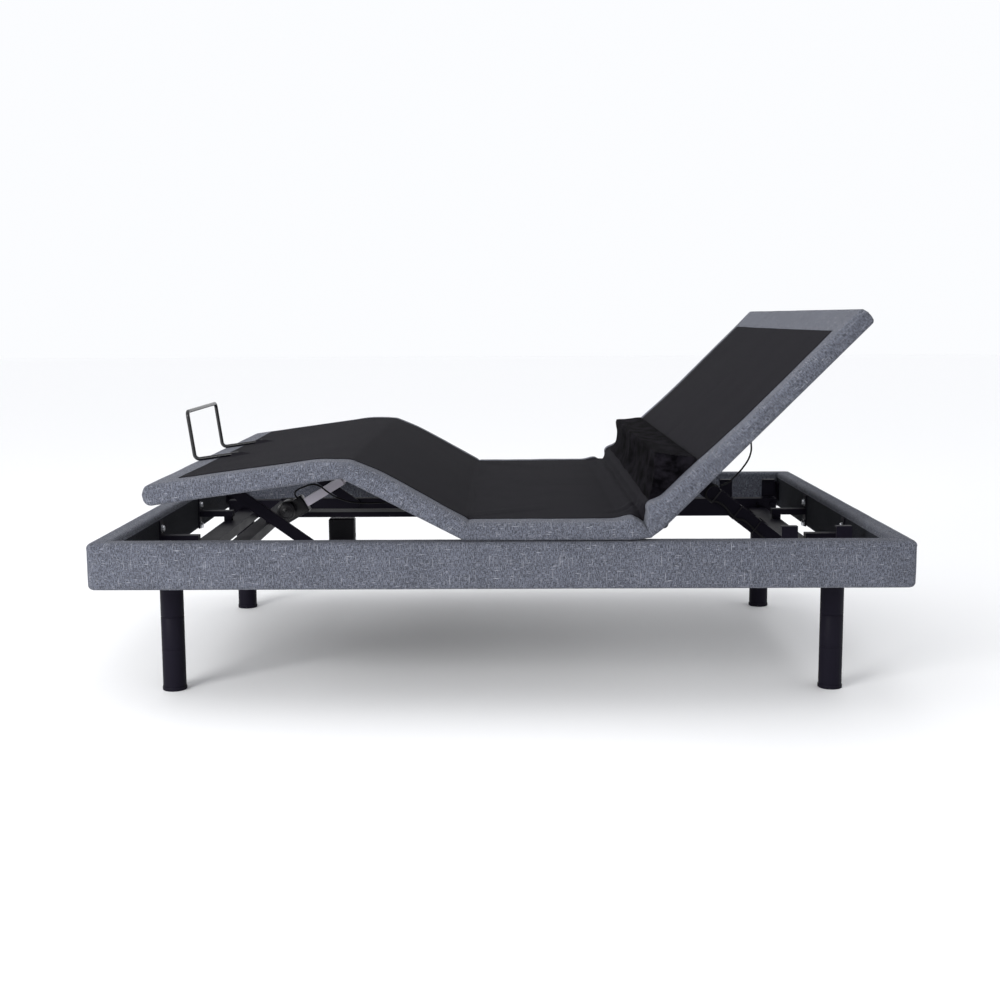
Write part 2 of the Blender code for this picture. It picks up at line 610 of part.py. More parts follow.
# Mattress retainer: one bent bar standing on the foot panel
PANEL_TOP = HINGE_DROP + PANEL_THICKNESS
BAR = 0.0045
RETAINER_HALF = 0.190
RETAINER_OUT = -0.478           # foot-panel X of the upright bars
RETAINER_IN = -0.372
RETAINER_HEIGHT = 0.144
BEND = 0.016


def quarter_bend(centre, first, second, steps=3):
    """Points of a bend that starts at centre + first and ends at centre + second."""
    centre, first, second = Vector(centre), Vector(first), Vector(second)
    return [centre + first * cos(pi / 2 * step / steps) + second * sin(pi / 2 * step / steps)
            for step in range(steps + 1)]


bar_z = PANEL_TOP + BAR + GAP
top_z = bar_z + RETAINER_HEIGHT


def retainer_side(y):
    """Half the bar, from its foot on the panel to the start of the top bar."""
    inward = -BEND if y > 0 else BEND
    points = [Vector((RETAINER_IN, y, bar_z))]
    points += quarter_bend((RETAINER_OUT + BEND, y, bar_z + BEND), (0, 0, -BEND), (-BEND, 0, 0))
    points += quarter_bend((RETAINER_OUT, y + inward, top_z - BEND), (0, -inward, 0), (0, 0, BEND))
    return points


wire("mattress_retainer", retainer_side(-RETAINER_HALF) + retainer_side(RETAINER_HALF)[::-1], BAR,
     STEEL, knee)

# Lumbar lift: a hinged board under a gusseted plush cover, on the back panel
LUMBAR_LENGTH = 0.094
LUMBAR_HALF_WIDTH = 0.690
BOARD = 0.008
box("lumbar_board", (-LUMBAR_LENGTH, -LUMBAR_HALF_WIDTH, -BOARD / 2), (0.0, LUMBAR_HALF_WIDTH, BOARD / 2),
    STEEL, lumbar)
slope = Vector((-cos(LUMBAR_ANGLE), sin(LUMBAR_ANGLE)))
across_board = Vector((-sin(LUMBAR_ANGLE), -cos(LUMBAR_ANGLE)))
hinge = Vector((LUMBAR_HINGE.x, LUMBAR_HINGE.z))
upper = hinge + slope * 0.012 + across_board * (BOARD / 2 + GAP)
ridge = hinge + slope * LUMBAR_LENGTH + across_board * (BOARD / 2 + GAP)
cover_outline = [(upper.x - 0.004, PANEL_TOP + GAP), tuple(upper), tuple(ridge),
                 (0.108, 0.080), (0.060, 0.068), (0.045, PANEL_TOP + GAP)]
plate("lumbar_cover", cover_outline, -LUMBAR_HALF_WIDTH, LUMBAR_HALF_WIDTH, PLUSH, back)

# Struts that hold the back panel off the base frame
for side_name, side in SIDES.items():
    name = f"back_strut_{side_name}"
    y = side * STRUT_Y
    strut = open_tube(name, (-0.012, y - STRUT_HALF_WIDTH, -0.022),
                      (strut_length - 0.006, y + STRUT_HALF_WIDTH, 0.022), 0, STEEL, struts, wall=0.0025)
    cut(strut, rod(name + "_hole", (0, y, 0), PIN_RADIUS + PIN_CLEARANCE, 0.06, "Y", STEEL, struts,
                   sides=12))

# Flat links that hold the foot panel off the carriage
LINK_HALF = 0.015
LINK_TIP = 0.011
for side_name, side in SIDES.items():
    outline = arc((0, 0), LINK_HALF, 90, 270, 8) + [(link_length - 0.030, -LINK_HALF)]
    outline += arc((link_length, 0), LINK_TIP, -90, 90, 8) + [(link_length - 0.030, LINK_HALF)]
    flat_bar = plate(f"foot_link_{side_name}", outline, *span(side, LINK_INNER, LINK_OUTER), STEEL, links)
    bolt = rod(f"link_bolt_{side_name}", (0, side * (LINK_OUTER + 0.0015), 0), 0.008, 0.007, "Y", STEEL,
               links, sides=12)
    fuse(flat_bar, bolt)


# Linear drives: a motor and gear case, a guide tube and a push rod
ROD_INSET = 0.078               # leaves room for the rod to run in


def linear_drive(name, parent, length, motor_x, motor_z, tube_start, tube_end):
    case = box(f"{name}_housing", (0.020, -0.024, -0.026), (tube_start + 0.004, 0.024, 0.026), PLASTIC,
               parent)
    neck = box(f"{name}_neck", (-0.010, -0.0125, -0.010), (0.022, 0.0125, 0.010), PLASTIC, parent)
    motor = rod(f"{name}_motor", (motor_x, -0.004, motor_z), 0.027, 0.104, "Y", PLASTIC, parent, sides=24)
    fuse(case, neck, motor)
    cut(case, rod(f"{name}_rear_hole", (0, 0, 0), PIN_RADIUS + PIN_CLEARANCE, 0.06, "Y", PLASTIC,
                  parent, sides=12))
    tube_low = (tube_start + 0.004 + GAP, -0.016, -0.013)
    guide = open_tube(f"{name}_guide", tube_low, (tube_end, 0.016, 0.013), 0, ALUMINIUM, parent,
                      wall=0.003)
    rod_start, rod_end = tube_start + ROD_INSET, length - 0.014
    push = rod(f"{name}_rod", ((rod_start + rod_end) / 2, 0, 0), 0.009, rod_end - rod_start, "X",
               ALUMINIUM, parent, sides=16)
    fork = box(f"{name}_rod_end", (length - 0.030, -0.0125, -0.0095), (length + 0.011, 0.0125, 0.0095),
               ALUMINIUM, parent)
    fuse(push, fork)
    return guide


linear_drive("leg_drive", leg_drive, leg_drive_length, 0.047, 0.010, 0.098, 0.230)
linear_drive("head_drive", head_drive, head_drive_length, 0.047, 0.002, 0.098, 0.325)


# Cables
def smooth(knots, steps):
    """A Catmull-Rom curve through the knots, with steps points to each stretch."""
    knots = [Vector(knot) for knot in knots]
    knots = [2 * knots[0] - knots[1], *knots, 2 * knots[-1] - knots[-2]]
    points = []
    for a, b, c, d in zip(knots, knots[1:], knots[2:], knots[3:]):
        for step in range(steps):
            t = step / steps
            points.append(0.5 * (2 * b + (c - a) * t + (2 * a - 5 * b + 4 * c - d) * t ** 2
                                 + (3 * b - a - 3 * c + d) * t ** 3))
    return [*points, knots[-2]]


CABLE_RADIUS = 0.0025
DRIVE_CABLE = [(-0.6102, -0.012, 0.4443), (-0.6150, -0.013, 0.4520), (-0.6140, -0.015, 0.4620),
               (-0.604, -0.018, 0.470), (-0.588, -0.022, 0.4770), (-0.570, -0.028, 0.4835),
               (-0.552, -0.036, 0.4860), (-0.534, -0.044, 0.4800), (-0.515, -0.052, 0.4670),
               (-0.4936, -0.060, 0.4545), (-0.467, -0.072, 0.4450), (-0.4375, -0.088, 0.4400),
               (-0.3985, -0.104, 0.4392), (-0.353, -0.118, 0.4425), (-0.300, -0.124, 0.4450),
               (-0.245, -0.124, 0.4430), (-0.190, -0.122, 0.4340), (-0.140, -0.120, 0.4200),
               (-0.105, -0.120, 0.4080), (-0.0805, -0.120, 0.4030)]
BACK_CABLE = [(0.6685, -0.200, 0.7315), (0.679, -0.200, 0.721), (0.690, -0.200, 0.700),
              (0.697, -0.200, 0.670), (0.702, -0.200, 0.640), (0.705, -0.201, 0.612),
              (0.704, -0.203, 0.594), (0.697, -0.206, 0.574), (0.684, -0.211, 0.555),
              (0.668, -0.217, 0.537), (0.641, -0.229, 0.514), (0.612, -0.241, 0.502)]
wire("drive_cable", smooth(DRIVE_CABLE, steps=4), CABLE_RADIUS, CABLE, carriage)

# The back cable is drawn where it hangs with the back raised, and swings with the back panel
back_cable = wire("back_cable", smooth(BACK_CABLE, steps=4), CABLE_RADIUS, CABLE)
bpy.context.view_layer.update()
back_cable.parent = back
back_cable.matrix_parent_inverse = back.matrix_world.inverted()
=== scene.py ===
import json
from math import atan2, cos, exp, hypot, pi, radians, sin, sqrt, tan

import bpy
from mathutils import Matrix, Vector, noise


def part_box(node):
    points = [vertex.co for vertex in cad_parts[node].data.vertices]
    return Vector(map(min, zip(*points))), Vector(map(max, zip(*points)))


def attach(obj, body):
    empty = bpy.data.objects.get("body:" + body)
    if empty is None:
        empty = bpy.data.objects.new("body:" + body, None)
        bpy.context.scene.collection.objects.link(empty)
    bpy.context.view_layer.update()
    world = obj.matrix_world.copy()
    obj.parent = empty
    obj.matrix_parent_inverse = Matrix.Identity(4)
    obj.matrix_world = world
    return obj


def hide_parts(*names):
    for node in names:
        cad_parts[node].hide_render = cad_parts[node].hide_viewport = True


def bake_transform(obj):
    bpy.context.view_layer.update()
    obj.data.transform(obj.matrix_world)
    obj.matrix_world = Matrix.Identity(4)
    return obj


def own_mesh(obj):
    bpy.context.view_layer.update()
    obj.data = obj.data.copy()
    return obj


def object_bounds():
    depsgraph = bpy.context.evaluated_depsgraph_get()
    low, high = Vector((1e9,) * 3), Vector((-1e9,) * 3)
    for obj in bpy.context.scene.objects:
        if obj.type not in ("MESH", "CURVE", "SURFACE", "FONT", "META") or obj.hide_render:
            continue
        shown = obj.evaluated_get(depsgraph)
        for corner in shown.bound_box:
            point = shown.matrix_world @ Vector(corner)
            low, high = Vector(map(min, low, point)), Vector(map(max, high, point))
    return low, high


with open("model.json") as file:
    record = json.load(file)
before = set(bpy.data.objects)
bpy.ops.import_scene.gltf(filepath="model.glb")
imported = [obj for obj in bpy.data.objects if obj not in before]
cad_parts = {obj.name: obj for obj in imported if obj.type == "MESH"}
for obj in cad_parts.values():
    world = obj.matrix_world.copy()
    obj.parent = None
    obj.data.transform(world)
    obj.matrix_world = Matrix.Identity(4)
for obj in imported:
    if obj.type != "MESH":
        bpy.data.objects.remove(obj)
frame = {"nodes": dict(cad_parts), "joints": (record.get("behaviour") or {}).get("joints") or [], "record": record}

cad_low, cad_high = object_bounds()
bpy.ops.object.select_all(action="DESELECT")


# Studio: a pale floor, large soft lights and a camera at a standing viewer's height, in front
# of the near side of the bed.
bpy.ops.mesh.primitive_plane_add(size=60, location=(0, 0, 0))
floor = bpy.context.active_object
floor.name = "studio_floor"
floor_paint = bpy.data.materials.new("pale_floor")
floor_paint.use_nodes = True
floor_shader = floor_paint.node_tree.nodes["Principled BSDF"]
floor_shader.inputs["Base Color"].default_value = (0.98, 0.98, 0.985, 1)
floor_shader.inputs["Roughness"].default_value = 0.7
floor.data.materials.append(floor_paint)

world = bpy.data.worlds.new("studio")
bpy.context.scene.world = world
world.use_nodes = True
daylight = world.node_tree.nodes["Background"]
daylight.inputs["Color"].default_value = (0.97, 0.98, 1.0, 1)
daylight.inputs["Strength"].default_value = 1.0


def soft_light(name, place, target, width, height, power):
    """A rectangular area light at place that faces target."""
    bpy.ops.object.light_add(type="AREA", location=place)
    lamp = bpy.context.active_object
    lamp.name = name
    lamp.data.shape = "RECTANGLE"
    lamp.data.size = width
    lamp.data.size_y = height
    lamp.data.energy = power
    lamp.rotation_euler = (Vector(target) - Vector(place)).to_track_quat("-Z", "Y").to_euler()


soft_light("key_left", (-3.4, -4.4, 2.0), (-0.4, -0.3, 0.4), 2.4, 1.8, 205)
soft_light("overhead", (0.0, 0.4, 3.8), (0, 0, 0.4), 3.4, 2.6, 18)

CAMERA_PITCH = radians(7.63)
CAMERA_YAW = radians(0.256)
CAMERA_ROLL = radians(-0.255)
CAMERA_PLACE = (0.0126, -4.0474, 0.975)
bpy.ops.object.camera_add(location=CAMERA_PLACE)
camera = bpy.context.active_object
camera.matrix_world = (Matrix.Translation(camera.location) @ Matrix.Rotation(CAMERA_YAW, 4, "Z")
                       @ Matrix.Rotation(pi / 2 - CAMERA_PITCH, 4, "X")
                       @ Matrix.Rotation(CAMERA_ROLL, 4, "Z"))
camera.data.lens = 49.226
camera.data.sensor_width = 36
bpy.context.scene.camera = camera
bpy.context.scene.view_settings.view_transform = "Standard"


# Base frame: two side members and two end members of rectangular steel tube, welded, with
# upright brackets and rail arms. All of it has one satin black powder coat.
def finish_of(name, **values):
    """A material with one Principled shader, whose plain values are set on its own sockets."""
    made = bpy.data.materials.new(name)
    made.use_nodes = True
    shader = made.node_tree.nodes["Principled BSDF"]
    for socket, value in values.items():
        shader.inputs[socket.replace("_", " ")].default_value = value
    return made, made.node_tree, shader


def new_group(name, numbers, colours, outputs):
    """An empty node group with its sockets made; outputs ending in Colour carry a colour."""
    group = bpy.data.node_groups.new(name, "ShaderNodeTree")
    group.interface.new_socket("Vector", in_out="INPUT", socket_type="NodeSocketVector")
    for label, value in numbers.items():
        socket = group.interface.new_socket(label, in_out="INPUT", socket_type="NodeSocketFloat")
        socket.default_value = value
    for label in colours:
        group.interface.new_socket(label, in_out="INPUT", socket_type="NodeSocketColor")
    for label in outputs:
        kind = "NodeSocketColor" if label.endswith("Colour") else "NodeSocketFloat"
        group.interface.new_socket(label, in_out="OUTPUT", socket_type=kind)
    return group, group.nodes.new("NodeGroupInput"), group.nodes.new("NodeGroupOutput")


def maths(tree, operation, first, second=None, third=None, clamp=False):
    """The result of a Math node on up to three numbers or sockets."""
    node = tree.nodes.new("ShaderNodeMath")
    node.operation = operation
    node.use_clamp = clamp
    for socket, value in zip(node.inputs, (first, second, third)):
        if value is None:
            continue
        if isinstance(value, (int, float)):
            socket.default_value = value
        else:
            tree.links.new(value, socket)
    return node.outputs[0]


def stretched_noise(tree, vector, scale, detail=2.0, roughness=0.5):
    """Noise whose grain is scale = (x, y, z) cells to the metre."""
    mapping = tree.nodes.new("ShaderNodeMapping")
    mapping.inputs["Scale"].default_value = scale
    tree.links.new(vector, mapping.inputs["Vector"])
    texture = tree.nodes.new("ShaderNodeTexNoise")
    texture.inputs["Scale"].default_value = 1.0
    texture.inputs["Detail"].default_value = detail
    texture.inputs["Roughness"].default_value = roughness
    tree.links.new(mapping.outputs["Vector"], texture.inputs["Vector"])
    return texture.outputs["Fac"]


def blended(tree, factor, first, second):
    """A colour between two others, each a tuple or a socket."""
    node = tree.nodes.new("ShaderNodeMix")
    node.data_type = "RGBA"
    tree.links.new(factor, node.inputs["Factor"])
    for socket, value in (("A", first), ("B", second)):
        slot = next(item for item in node.inputs if item.name == socket and item.type == "RGBA")
        if isinstance(value, tuple):
            slot.default_value = (*value, 1)
        else:
            tree.links.new(value, slot)
    return next(item for item in node.outputs if item.type == "RGBA")


def add_relief(tree, shader, height, strength, depth):
    """Feeds a height to the shader's normal through a Bump node."""
    relief = tree.nodes.new("ShaderNodeBump")
    relief.inputs["Strength"].default_value = strength
    relief.inputs["Distance"].default_value = depth
    tree.links.new(height, relief.inputs["Height"])
    tree.links.new(relief.outputs["Normal"], shader.inputs["Normal"])


# Worn coating: a fine grain for the bump, a cloudy roughness and thin dust on what faces up
coating, coat_in, coat_out = new_group("worn_coating", {"Grain": 900.0, "Gloss": 0.45, "Dust": 0.15},
                                       ["Base", "Dust Tint"], ["Colour", "Roughness", "Height"])
clouds = stretched_noise(coating, coat_in.outputs["Vector"], (9, 9, 9), detail=4)
scaled = coating.nodes.new("ShaderNodeVectorMath")
scaled.operation = "SCALE"
coating.links.new(coat_in.outputs["Vector"], scaled.inputs[0])
coating.links.new(coat_in.outputs["Grain"], scaled.inputs["Scale"])
grain = stretched_noise(coating, scaled.outputs[0], (1, 1, 1), detail=1)
facing = coating.nodes.new("ShaderNodeNewGeometry")
up = coating.nodes.new("ShaderNodeSeparateXYZ")
coating.links.new(facing.outputs["Normal"], up.inputs[0])
dusty = maths(coating, "MULTIPLY", maths(coating, "MAXIMUM", up.outputs["Z"], 0.0), clouds)
dusty = maths(coating, "MULTIPLY", dusty, coat_in.outputs["Dust"], clamp=True)
coating.links.new(blended(coating, dusty, coat_in.outputs["Base"], coat_in.outputs["Dust Tint"]),
                  coat_out.inputs["Colour"])
CLOUDINESS = 0.16               # how far the roughness varies between patches
rough = maths(coating, "MULTIPLY_ADD", clouds, CLOUDINESS, coat_in.outputs["Gloss"])
coating.links.new(maths(coating, "ADD", rough, -CLOUDINESS / 2), coat_out.inputs["Roughness"])
coating.links.new(grain, coat_out.inputs["Height"])


def coated(name, base, gloss, dust=0.15, grain=900.0, bump=0.12, depth=0.0004, **values):
    """A coated, moulded or bare hard surface that uses the worn coating."""
    made, tree, shader = finish_of(name, **values)
    place = tree.nodes.new("ShaderNodeTexCoord")
    effect = tree.nodes.new("ShaderNodeGroup")
    effect.node_tree = coating
    tree.links.new(place.outputs["Object"], effect.inputs["Vector"])
    for label, value in (("Grain", grain), ("Gloss", gloss), ("Dust", dust)):
        effect.inputs[label].default_value = value
    effect.inputs["Base"].default_value = (*base, 1)
    effect.inputs["Dust Tint"].default_value = (0.25, 0.25, 0.26, 1)
    tree.links.new(effect.outputs["Colour"], shader.inputs["Base Color"])
    tree.links.new(effect.outputs["Roughness"], shader.inputs["Roughness"])
    add_relief(tree, shader, effect.outputs["Height"], bump, depth)
    return made


powder_coat = coated("black_powder_coat", (0.0085, 0.0075, 0.0130), 0.46, dust=0.02,
                     Specular_IOR_Level=0.04)
zinc_plate = coated("zinc_plated_steel", (0.52, 0.53, 0.56), 0.30, dust=0.05, Metallic=1.0)
aluminium = coated("extruded_aluminium", (0.60, 0.57, 0.64), 0.40, dust=0.1, grain=500.0, Metallic=1.0)
black_plastic = coated("moulded_black_plastic", (0.0055, 0.0050, 0.0075), 0.30, dust=0.01, grain=1400.0,
                       Specular_IOR_Level=0.35)
glide_nylon = coated("glide_nylon", (0.03, 0.03, 0.032), 0.45)
node_slot = {part["node"]: part["material_slot"] for part in frame["record"]["subparts"]}
HARD = {"steel": powder_coat, "aluminium": aluminium, "plastic": black_plastic, "nylon": glide_nylon}
for node, piece in frame["nodes"].items():
    if node_slot[node] in HARD:
        piece.data.materials.clear()
        piece.data.materials.append(HARD[node_slot[node]])


# Bolts: hexagon heads on washers; two zinc-plated ones through each rail arm's plate and three
# black ones through each side member by the rear uprights.
def fit(piece, name, finish, body, slot_name, *stood_for):
    """Names a finished piece, puts its place in its mesh and lets it ride."""
    bpy.ops.object.select_all(action="DESELECT")
    piece.select_set(True)
    bpy.context.view_layer.objects.active = piece
    bpy.ops.object.transform_apply(location=True, rotation=True, scale=True)
    piece.name = piece.data.name = name
    if not piece.data.materials:
        piece.data.materials.append(finish)
    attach(piece, body)
    if stood_for:
        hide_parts(*stood_for)


def rounded_edges(piece, width, segments=2):
    """Bevels a piece's sharp edges for good."""
    bpy.context.view_layer.objects.active = piece
    edge = piece.modifiers.new("edges", "BEVEL")
    edge.width = width
    edge.segments = segments
    edge.limit_method = "ANGLE"
    edge.angle_limit = radians(30)
    bpy.ops.object.modifier_apply(modifier=edge.name)
    return piece


def joined(pieces):
    """Joins meshes into one object, which stays selected and active."""
    bpy.ops.object.select_all(action="DESELECT")
    for piece in pieces:
        piece.select_set(True)
    bpy.context.view_layer.objects.active = pieces[0]
    bpy.ops.object.join()
    return pieces[0]


WASHER = 0.0014                 # thickness of a washer


def hex_bolt(face, direction, across, head):
    """A hexagon head on a washer, standing on face and pointing along direction."""
    face, direction = Vector(face), Vector(direction).normalized()
    turn = direction.to_track_quat("Z", "Y").to_euler()
    bpy.ops.mesh.primitive_cylinder_add(vertices=24, radius=across * 0.72, depth=WASHER,
                                        location=face + direction * (WASHER / 2), rotation=turn)
    washer = rounded_edges(bpy.context.active_object, 0.0004, segments=1)
    bpy.ops.mesh.primitive_cylinder_add(vertices=6, radius=across / sqrt(3), depth=head,
                                        location=face + direction * (WASHER + head / 2), rotation=turn)
    return [washer, rounded_edges(bpy.context.active_object, 0.0007)]


arm_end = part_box("rail_arm_head_far")[1].x
PLATE = 0.004                   # thickness of the plate at a rail arm's end
RAIL_BOLT_OUT = 0.245           # from the middle of the bed
RAIL_BOLT_HEIGHTS = (0.323, 0.388)
bolts = []
for end in (-1, 1):
    for y in (-RAIL_BOLT_OUT, RAIL_BOLT_OUT):
        for z in RAIL_BOLT_HEIGHTS:
            bolts += hex_bolt((end * (arm_end - PLATE), y, z), (-end, 0, 0), across=0.0155, head=0.0060)
rail_bolts = joined(bolts)
bpy.ops.object.shade_smooth_by_angle(angle=radians(35))
fit(rail_bolts, "rail_arm_bolts", zinc_plate, "root", "aluminium")

side_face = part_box("frame_side_far")[0].y
FRAME_BOLT_PLACES = (0.745, 0.861, 0.905)
FRAME_BOLT_HEIGHT = 0.352
bolts = []
for side in (-1, 1):
    for x in FRAME_BOLT_PLACES:
        bolts += hex_bolt((x, side * side_face, FRAME_BOLT_HEIGHT), (0, -side, 0), across=0.013, head=0.005)
frame_bolts = joined(bolts)
bpy.ops.object.shade_smooth_by_angle(angle=radians(35))
fit(frame_bolts, "frame_bolts", powder_coat, "root", "steel")


# Legs: each is two turned steel tubes screwed together, with a groove where they meet, a
# lower groove for the foot's insert and a moulded cap that stands on the floor.
def skin(name, stations, section, place):
    """A closed skin: a grid rolled round the section at every station, with its ends filled.

    place(station, point) gives a corner's place. The UV map runs along the stations and round
    the section, in metres.
    """
    loop = [*section, section[0]]
    around = [0.0]
    for first, second in zip(loop, loop[1:]):
        around.append(around[-1] + hypot(second[0] - first[0], second[1] - first[1]))
    bpy.ops.object.select_all(action="DESELECT")
    bpy.ops.mesh.primitive_grid_add(x_subdivisions=len(section), y_subdivisions=len(stations) - 1, size=1)
    piece = bpy.context.active_object
    piece.name = name
    mesh = piece.data
    for index, vertex in enumerate(mesh.vertices):
        vertex.co = place(stations[index // len(loop)], loop[index % len(loop)])
    coords = mesh.uv_layers.active.data
    for corner in mesh.loops:
        row, column = divmod(corner.vertex_index, len(loop))
        along = stations[row] if isinstance(stations[row], float) else stations[row][0]
        coords[corner.index].uv = (along, around[column])
    bpy.ops.object.mode_set(mode="EDIT")
    bpy.ops.mesh.select_all(action="SELECT")
    bpy.ops.mesh.remove_doubles(threshold=0.00001)
    bpy.ops.mesh.fill_holes(sides=0)
    bpy.ops.mesh.select_all(action="SELECT")
    bpy.ops.mesh.normals_make_consistent(inside=False)
    bpy.ops.object.mode_set(mode="OBJECT")
    bpy.ops.object.shade_smooth_by_angle(angle=radians(38))
    return piece


LEG_SIDES = 72
leg_ring = [(cos(2 * pi * step / LEG_SIDES), sin(2 * pi * step / LEG_SIDES)) for step in range(LEG_SIDES)]
leg_low, leg_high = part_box("leg_lower_foot_near")
LEG_RADIUS = 0.0303
CAP_RADIUS = (leg_high.x - leg_low.x) / 2
# Profiles of the two tubes, each point a height and a radius
LOWER_LEG = [(0.0, CAP_RADIUS - 0.0016), (0.0008, CAP_RADIUS - 0.0004), (0.002, CAP_RADIUS),
             (0.0085, CAP_RADIUS), (0.0095, CAP_RADIUS - 0.0005), (0.0098, LEG_RADIUS - 0.0004),
             (0.0108, LEG_RADIUS - 0.0004), (0.0111, LEG_RADIUS), (0.1112, LEG_RADIUS),
             (0.1117, LEG_RADIUS - 0.0008), (0.1124, LEG_RADIUS - 0.0008), (0.1129, LEG_RADIUS),
             (0.1960, LEG_RADIUS), (0.1970, LEG_RADIUS - 0.0006), (leg_high.z, LEG_RADIUS - 0.0012)]
upper_low, upper_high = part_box("leg_upper_foot_near")
UPPER_LEG = [(upper_low.z, LEG_RADIUS - 0.0012), (upper_low.z + 0.0004, LEG_RADIUS - 0.0006),
             (upper_low.z + 0.0014, LEG_RADIUS), (upper_high.z - 0.001, LEG_RADIUS),
             (upper_high.z, LEG_RADIUS - 0.001)]


def turned_tube(node, profile):
    """A tube turned to a profile, which stands at a leg's node."""
    low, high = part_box(node)
    middle = (low + high) / 2

    def on_leg(station, ring):
        return (middle.x + station[1] * ring[0], middle.y + station[1] * ring[1], station[0])

    return skin(node + "_tube", profile, leg_ring, on_leg)


for end in ("foot", "head"):
    for side in ("near", "far"):
        for part, profile in (("lower", LOWER_LEG), ("upper", UPPER_LEG)):
            node = f"leg_{part}_{end}_{side}"
            tube = turned_tube(node, profile)
            fit(tube, node + "_tube", powder_coat, "root", "steel", node)


# Surround: four board rails with foam, wrapped in heathered linen-look cloth that is pulled
# round the edges and mitred at the corners; black felt on the end rails' inner faces paints their shade.
weave, weave_in, weave_out = new_group("woven_threads", {"Threads": 800.0, "Slub": 1.0},
                                       ["Dark", "Middle", "Light"], ["Colour", "Height"])
threads_along = stretched_noise(weave, weave_in.outputs["Vector"], (150, 600, 1), detail=2, roughness=0.7)
threads_across = stretched_noise(weave, weave_in.outputs["Vector"], (600, 110, 1), detail=2, roughness=0.7)
speckle = stretched_noise(weave, weave_in.outputs["Vector"], (620, 620, 1), detail=2, roughness=0.7)
patches = stretched_noise(weave, weave_in.outputs["Vector"], (12, 12, 1), detail=3)
mixed = maths(weave, "MULTIPLY_ADD", threads_along, 0.7, maths(weave, "MULTIPLY", threads_across, 1.3))
mixed = maths(weave, "ADD", mixed, maths(weave, "MULTIPLY", speckle, 0.9))
mixed = maths(weave, "ADD", mixed, maths(weave, "MULTIPLY", patches, 0.15))
MIX_MEAN = 1.525                # the mean of the mixed noises
CONTRAST = 5.4
mixed = maths(weave, "MULTIPLY_ADD", maths(weave, "SUBTRACT", mixed, MIX_MEAN), CONTRAST, 0.5, clamp=True)
tone = blended(weave, mixed, weave_in.outputs["Dark"], weave_in.outputs["Middle"])
slub_along = stretched_noise(weave, weave_in.outputs["Vector"], (50, 420, 1), detail=1)
slub_across = stretched_noise(weave, weave_in.outputs["Vector"], (600, 24, 1), detail=1)
slubs = maths(weave, "MAXIMUM", slub_along, slub_across)
SLUB_START = 0.64               # noise above this is a slub
slubs = maths(weave, "MULTIPLY", maths(weave, "SUBTRACT", slubs, SLUB_START), 6.0, clamp=True)
slubs = maths(weave, "MULTIPLY", slubs, weave_in.outputs["Slub"], clamp=True)
weave.links.new(blended(weave, slubs, tone, weave_in.outputs["Light"]), weave_out.inputs["Colour"])
split = weave.nodes.new("ShaderNodeSeparateXYZ")
weave.links.new(weave_in.outputs["Vector"], split.inputs[0])
turns = maths(weave, "MULTIPLY", weave_in.outputs["Threads"], 2 * pi)
crossing = maths(weave, "MULTIPLY",
                 maths(weave, "SINE", maths(weave, "MULTIPLY", split.outputs["X"], turns)),
                 maths(weave, "SINE", maths(weave, "MULTIPLY", split.outputs["Y"], turns)))
weave.links.new(maths(weave, "ADD", maths(weave, "MULTIPLY_ADD", crossing, 0.4, mixed), slubs),
                weave_out.inputs["Height"])


def woven(name, dark, middle, light, threads, slub, bump, depth, **values):
    """A cloth that uses the woven threads on its UV map."""
    made, tree, shader = finish_of(name, **values)
    place = tree.nodes.new("ShaderNodeUVMap")
    effect = tree.nodes.new("ShaderNodeGroup")
    effect.node_tree = weave
    tree.links.new(place.outputs["UV"], effect.inputs["Vector"])
    effect.inputs["Threads"].default_value = threads
    effect.inputs["Slub"].default_value = slub
    for label, colour in (("Dark", dark), ("Middle", middle), ("Light", light)):
        effect.inputs[label].default_value = (*colour, 1)
    tree.links.new(effect.outputs["Colour"], shader.inputs["Base Color"])
    add_relief(tree, shader, effect.outputs["Height"], bump, depth)
    return made


linen = woven("grey_linen", (0.034, 0.037, 0.049), (0.136, 0.146, 0.186), (0.43, 0.44, 0.49),
              threads=620.0, slub=0.8, bump=0.7, depth=0.0007, Roughness=0.92, Sheen_Weight=0.05)
# The black felt closes the deck's underside; on the end rails' inner faces it is painted shade, a dark sheet for
# the shade inside the surround.
felt_and_painted_shade = woven("black_felt_and_painted_shade", (0.011, 0.0115, 0.015), (0.026, 0.028, 0.036), (0.05, 0.052, 0.06),
             threads=900.0, slub=0.1, bump=0.4, depth=0.0004, Roughness=0.95, Specular_IOR_Level=0.1)

RAIL = 0.055                    # thickness of a rail with its foam
CORNER = 0.018                  # plan radius of the surround's corners
MITRE = 0.080                   # length over which the cloth runs into the mitre
TIGHT = 0.03                    # the cloth is pulled flat this close to a rail's end
RIDGE = 0.0024                  # the foam's roll under the top outer edge, and its place
RIDGE_DROP = 0.012
TUCK = 0.0012                   # how far the cloth draws in at the mitre
RAIL_ENDS = (0.0, 0.0012, 0.003, 0.006, 0.010, 0.014, 0.020, 0.030, 0.042, 0.056)
RAIL_STEP = 0.016
ARC_STEPS = 5                   # stretches in a section's rounded corner
rail_low, rail_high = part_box("side_rail_near")


def hump(value, centre, width):
    """A smooth rise to 1 at centre that dies away over width on each side."""
    return exp(-((value - centre) / width) ** 2)


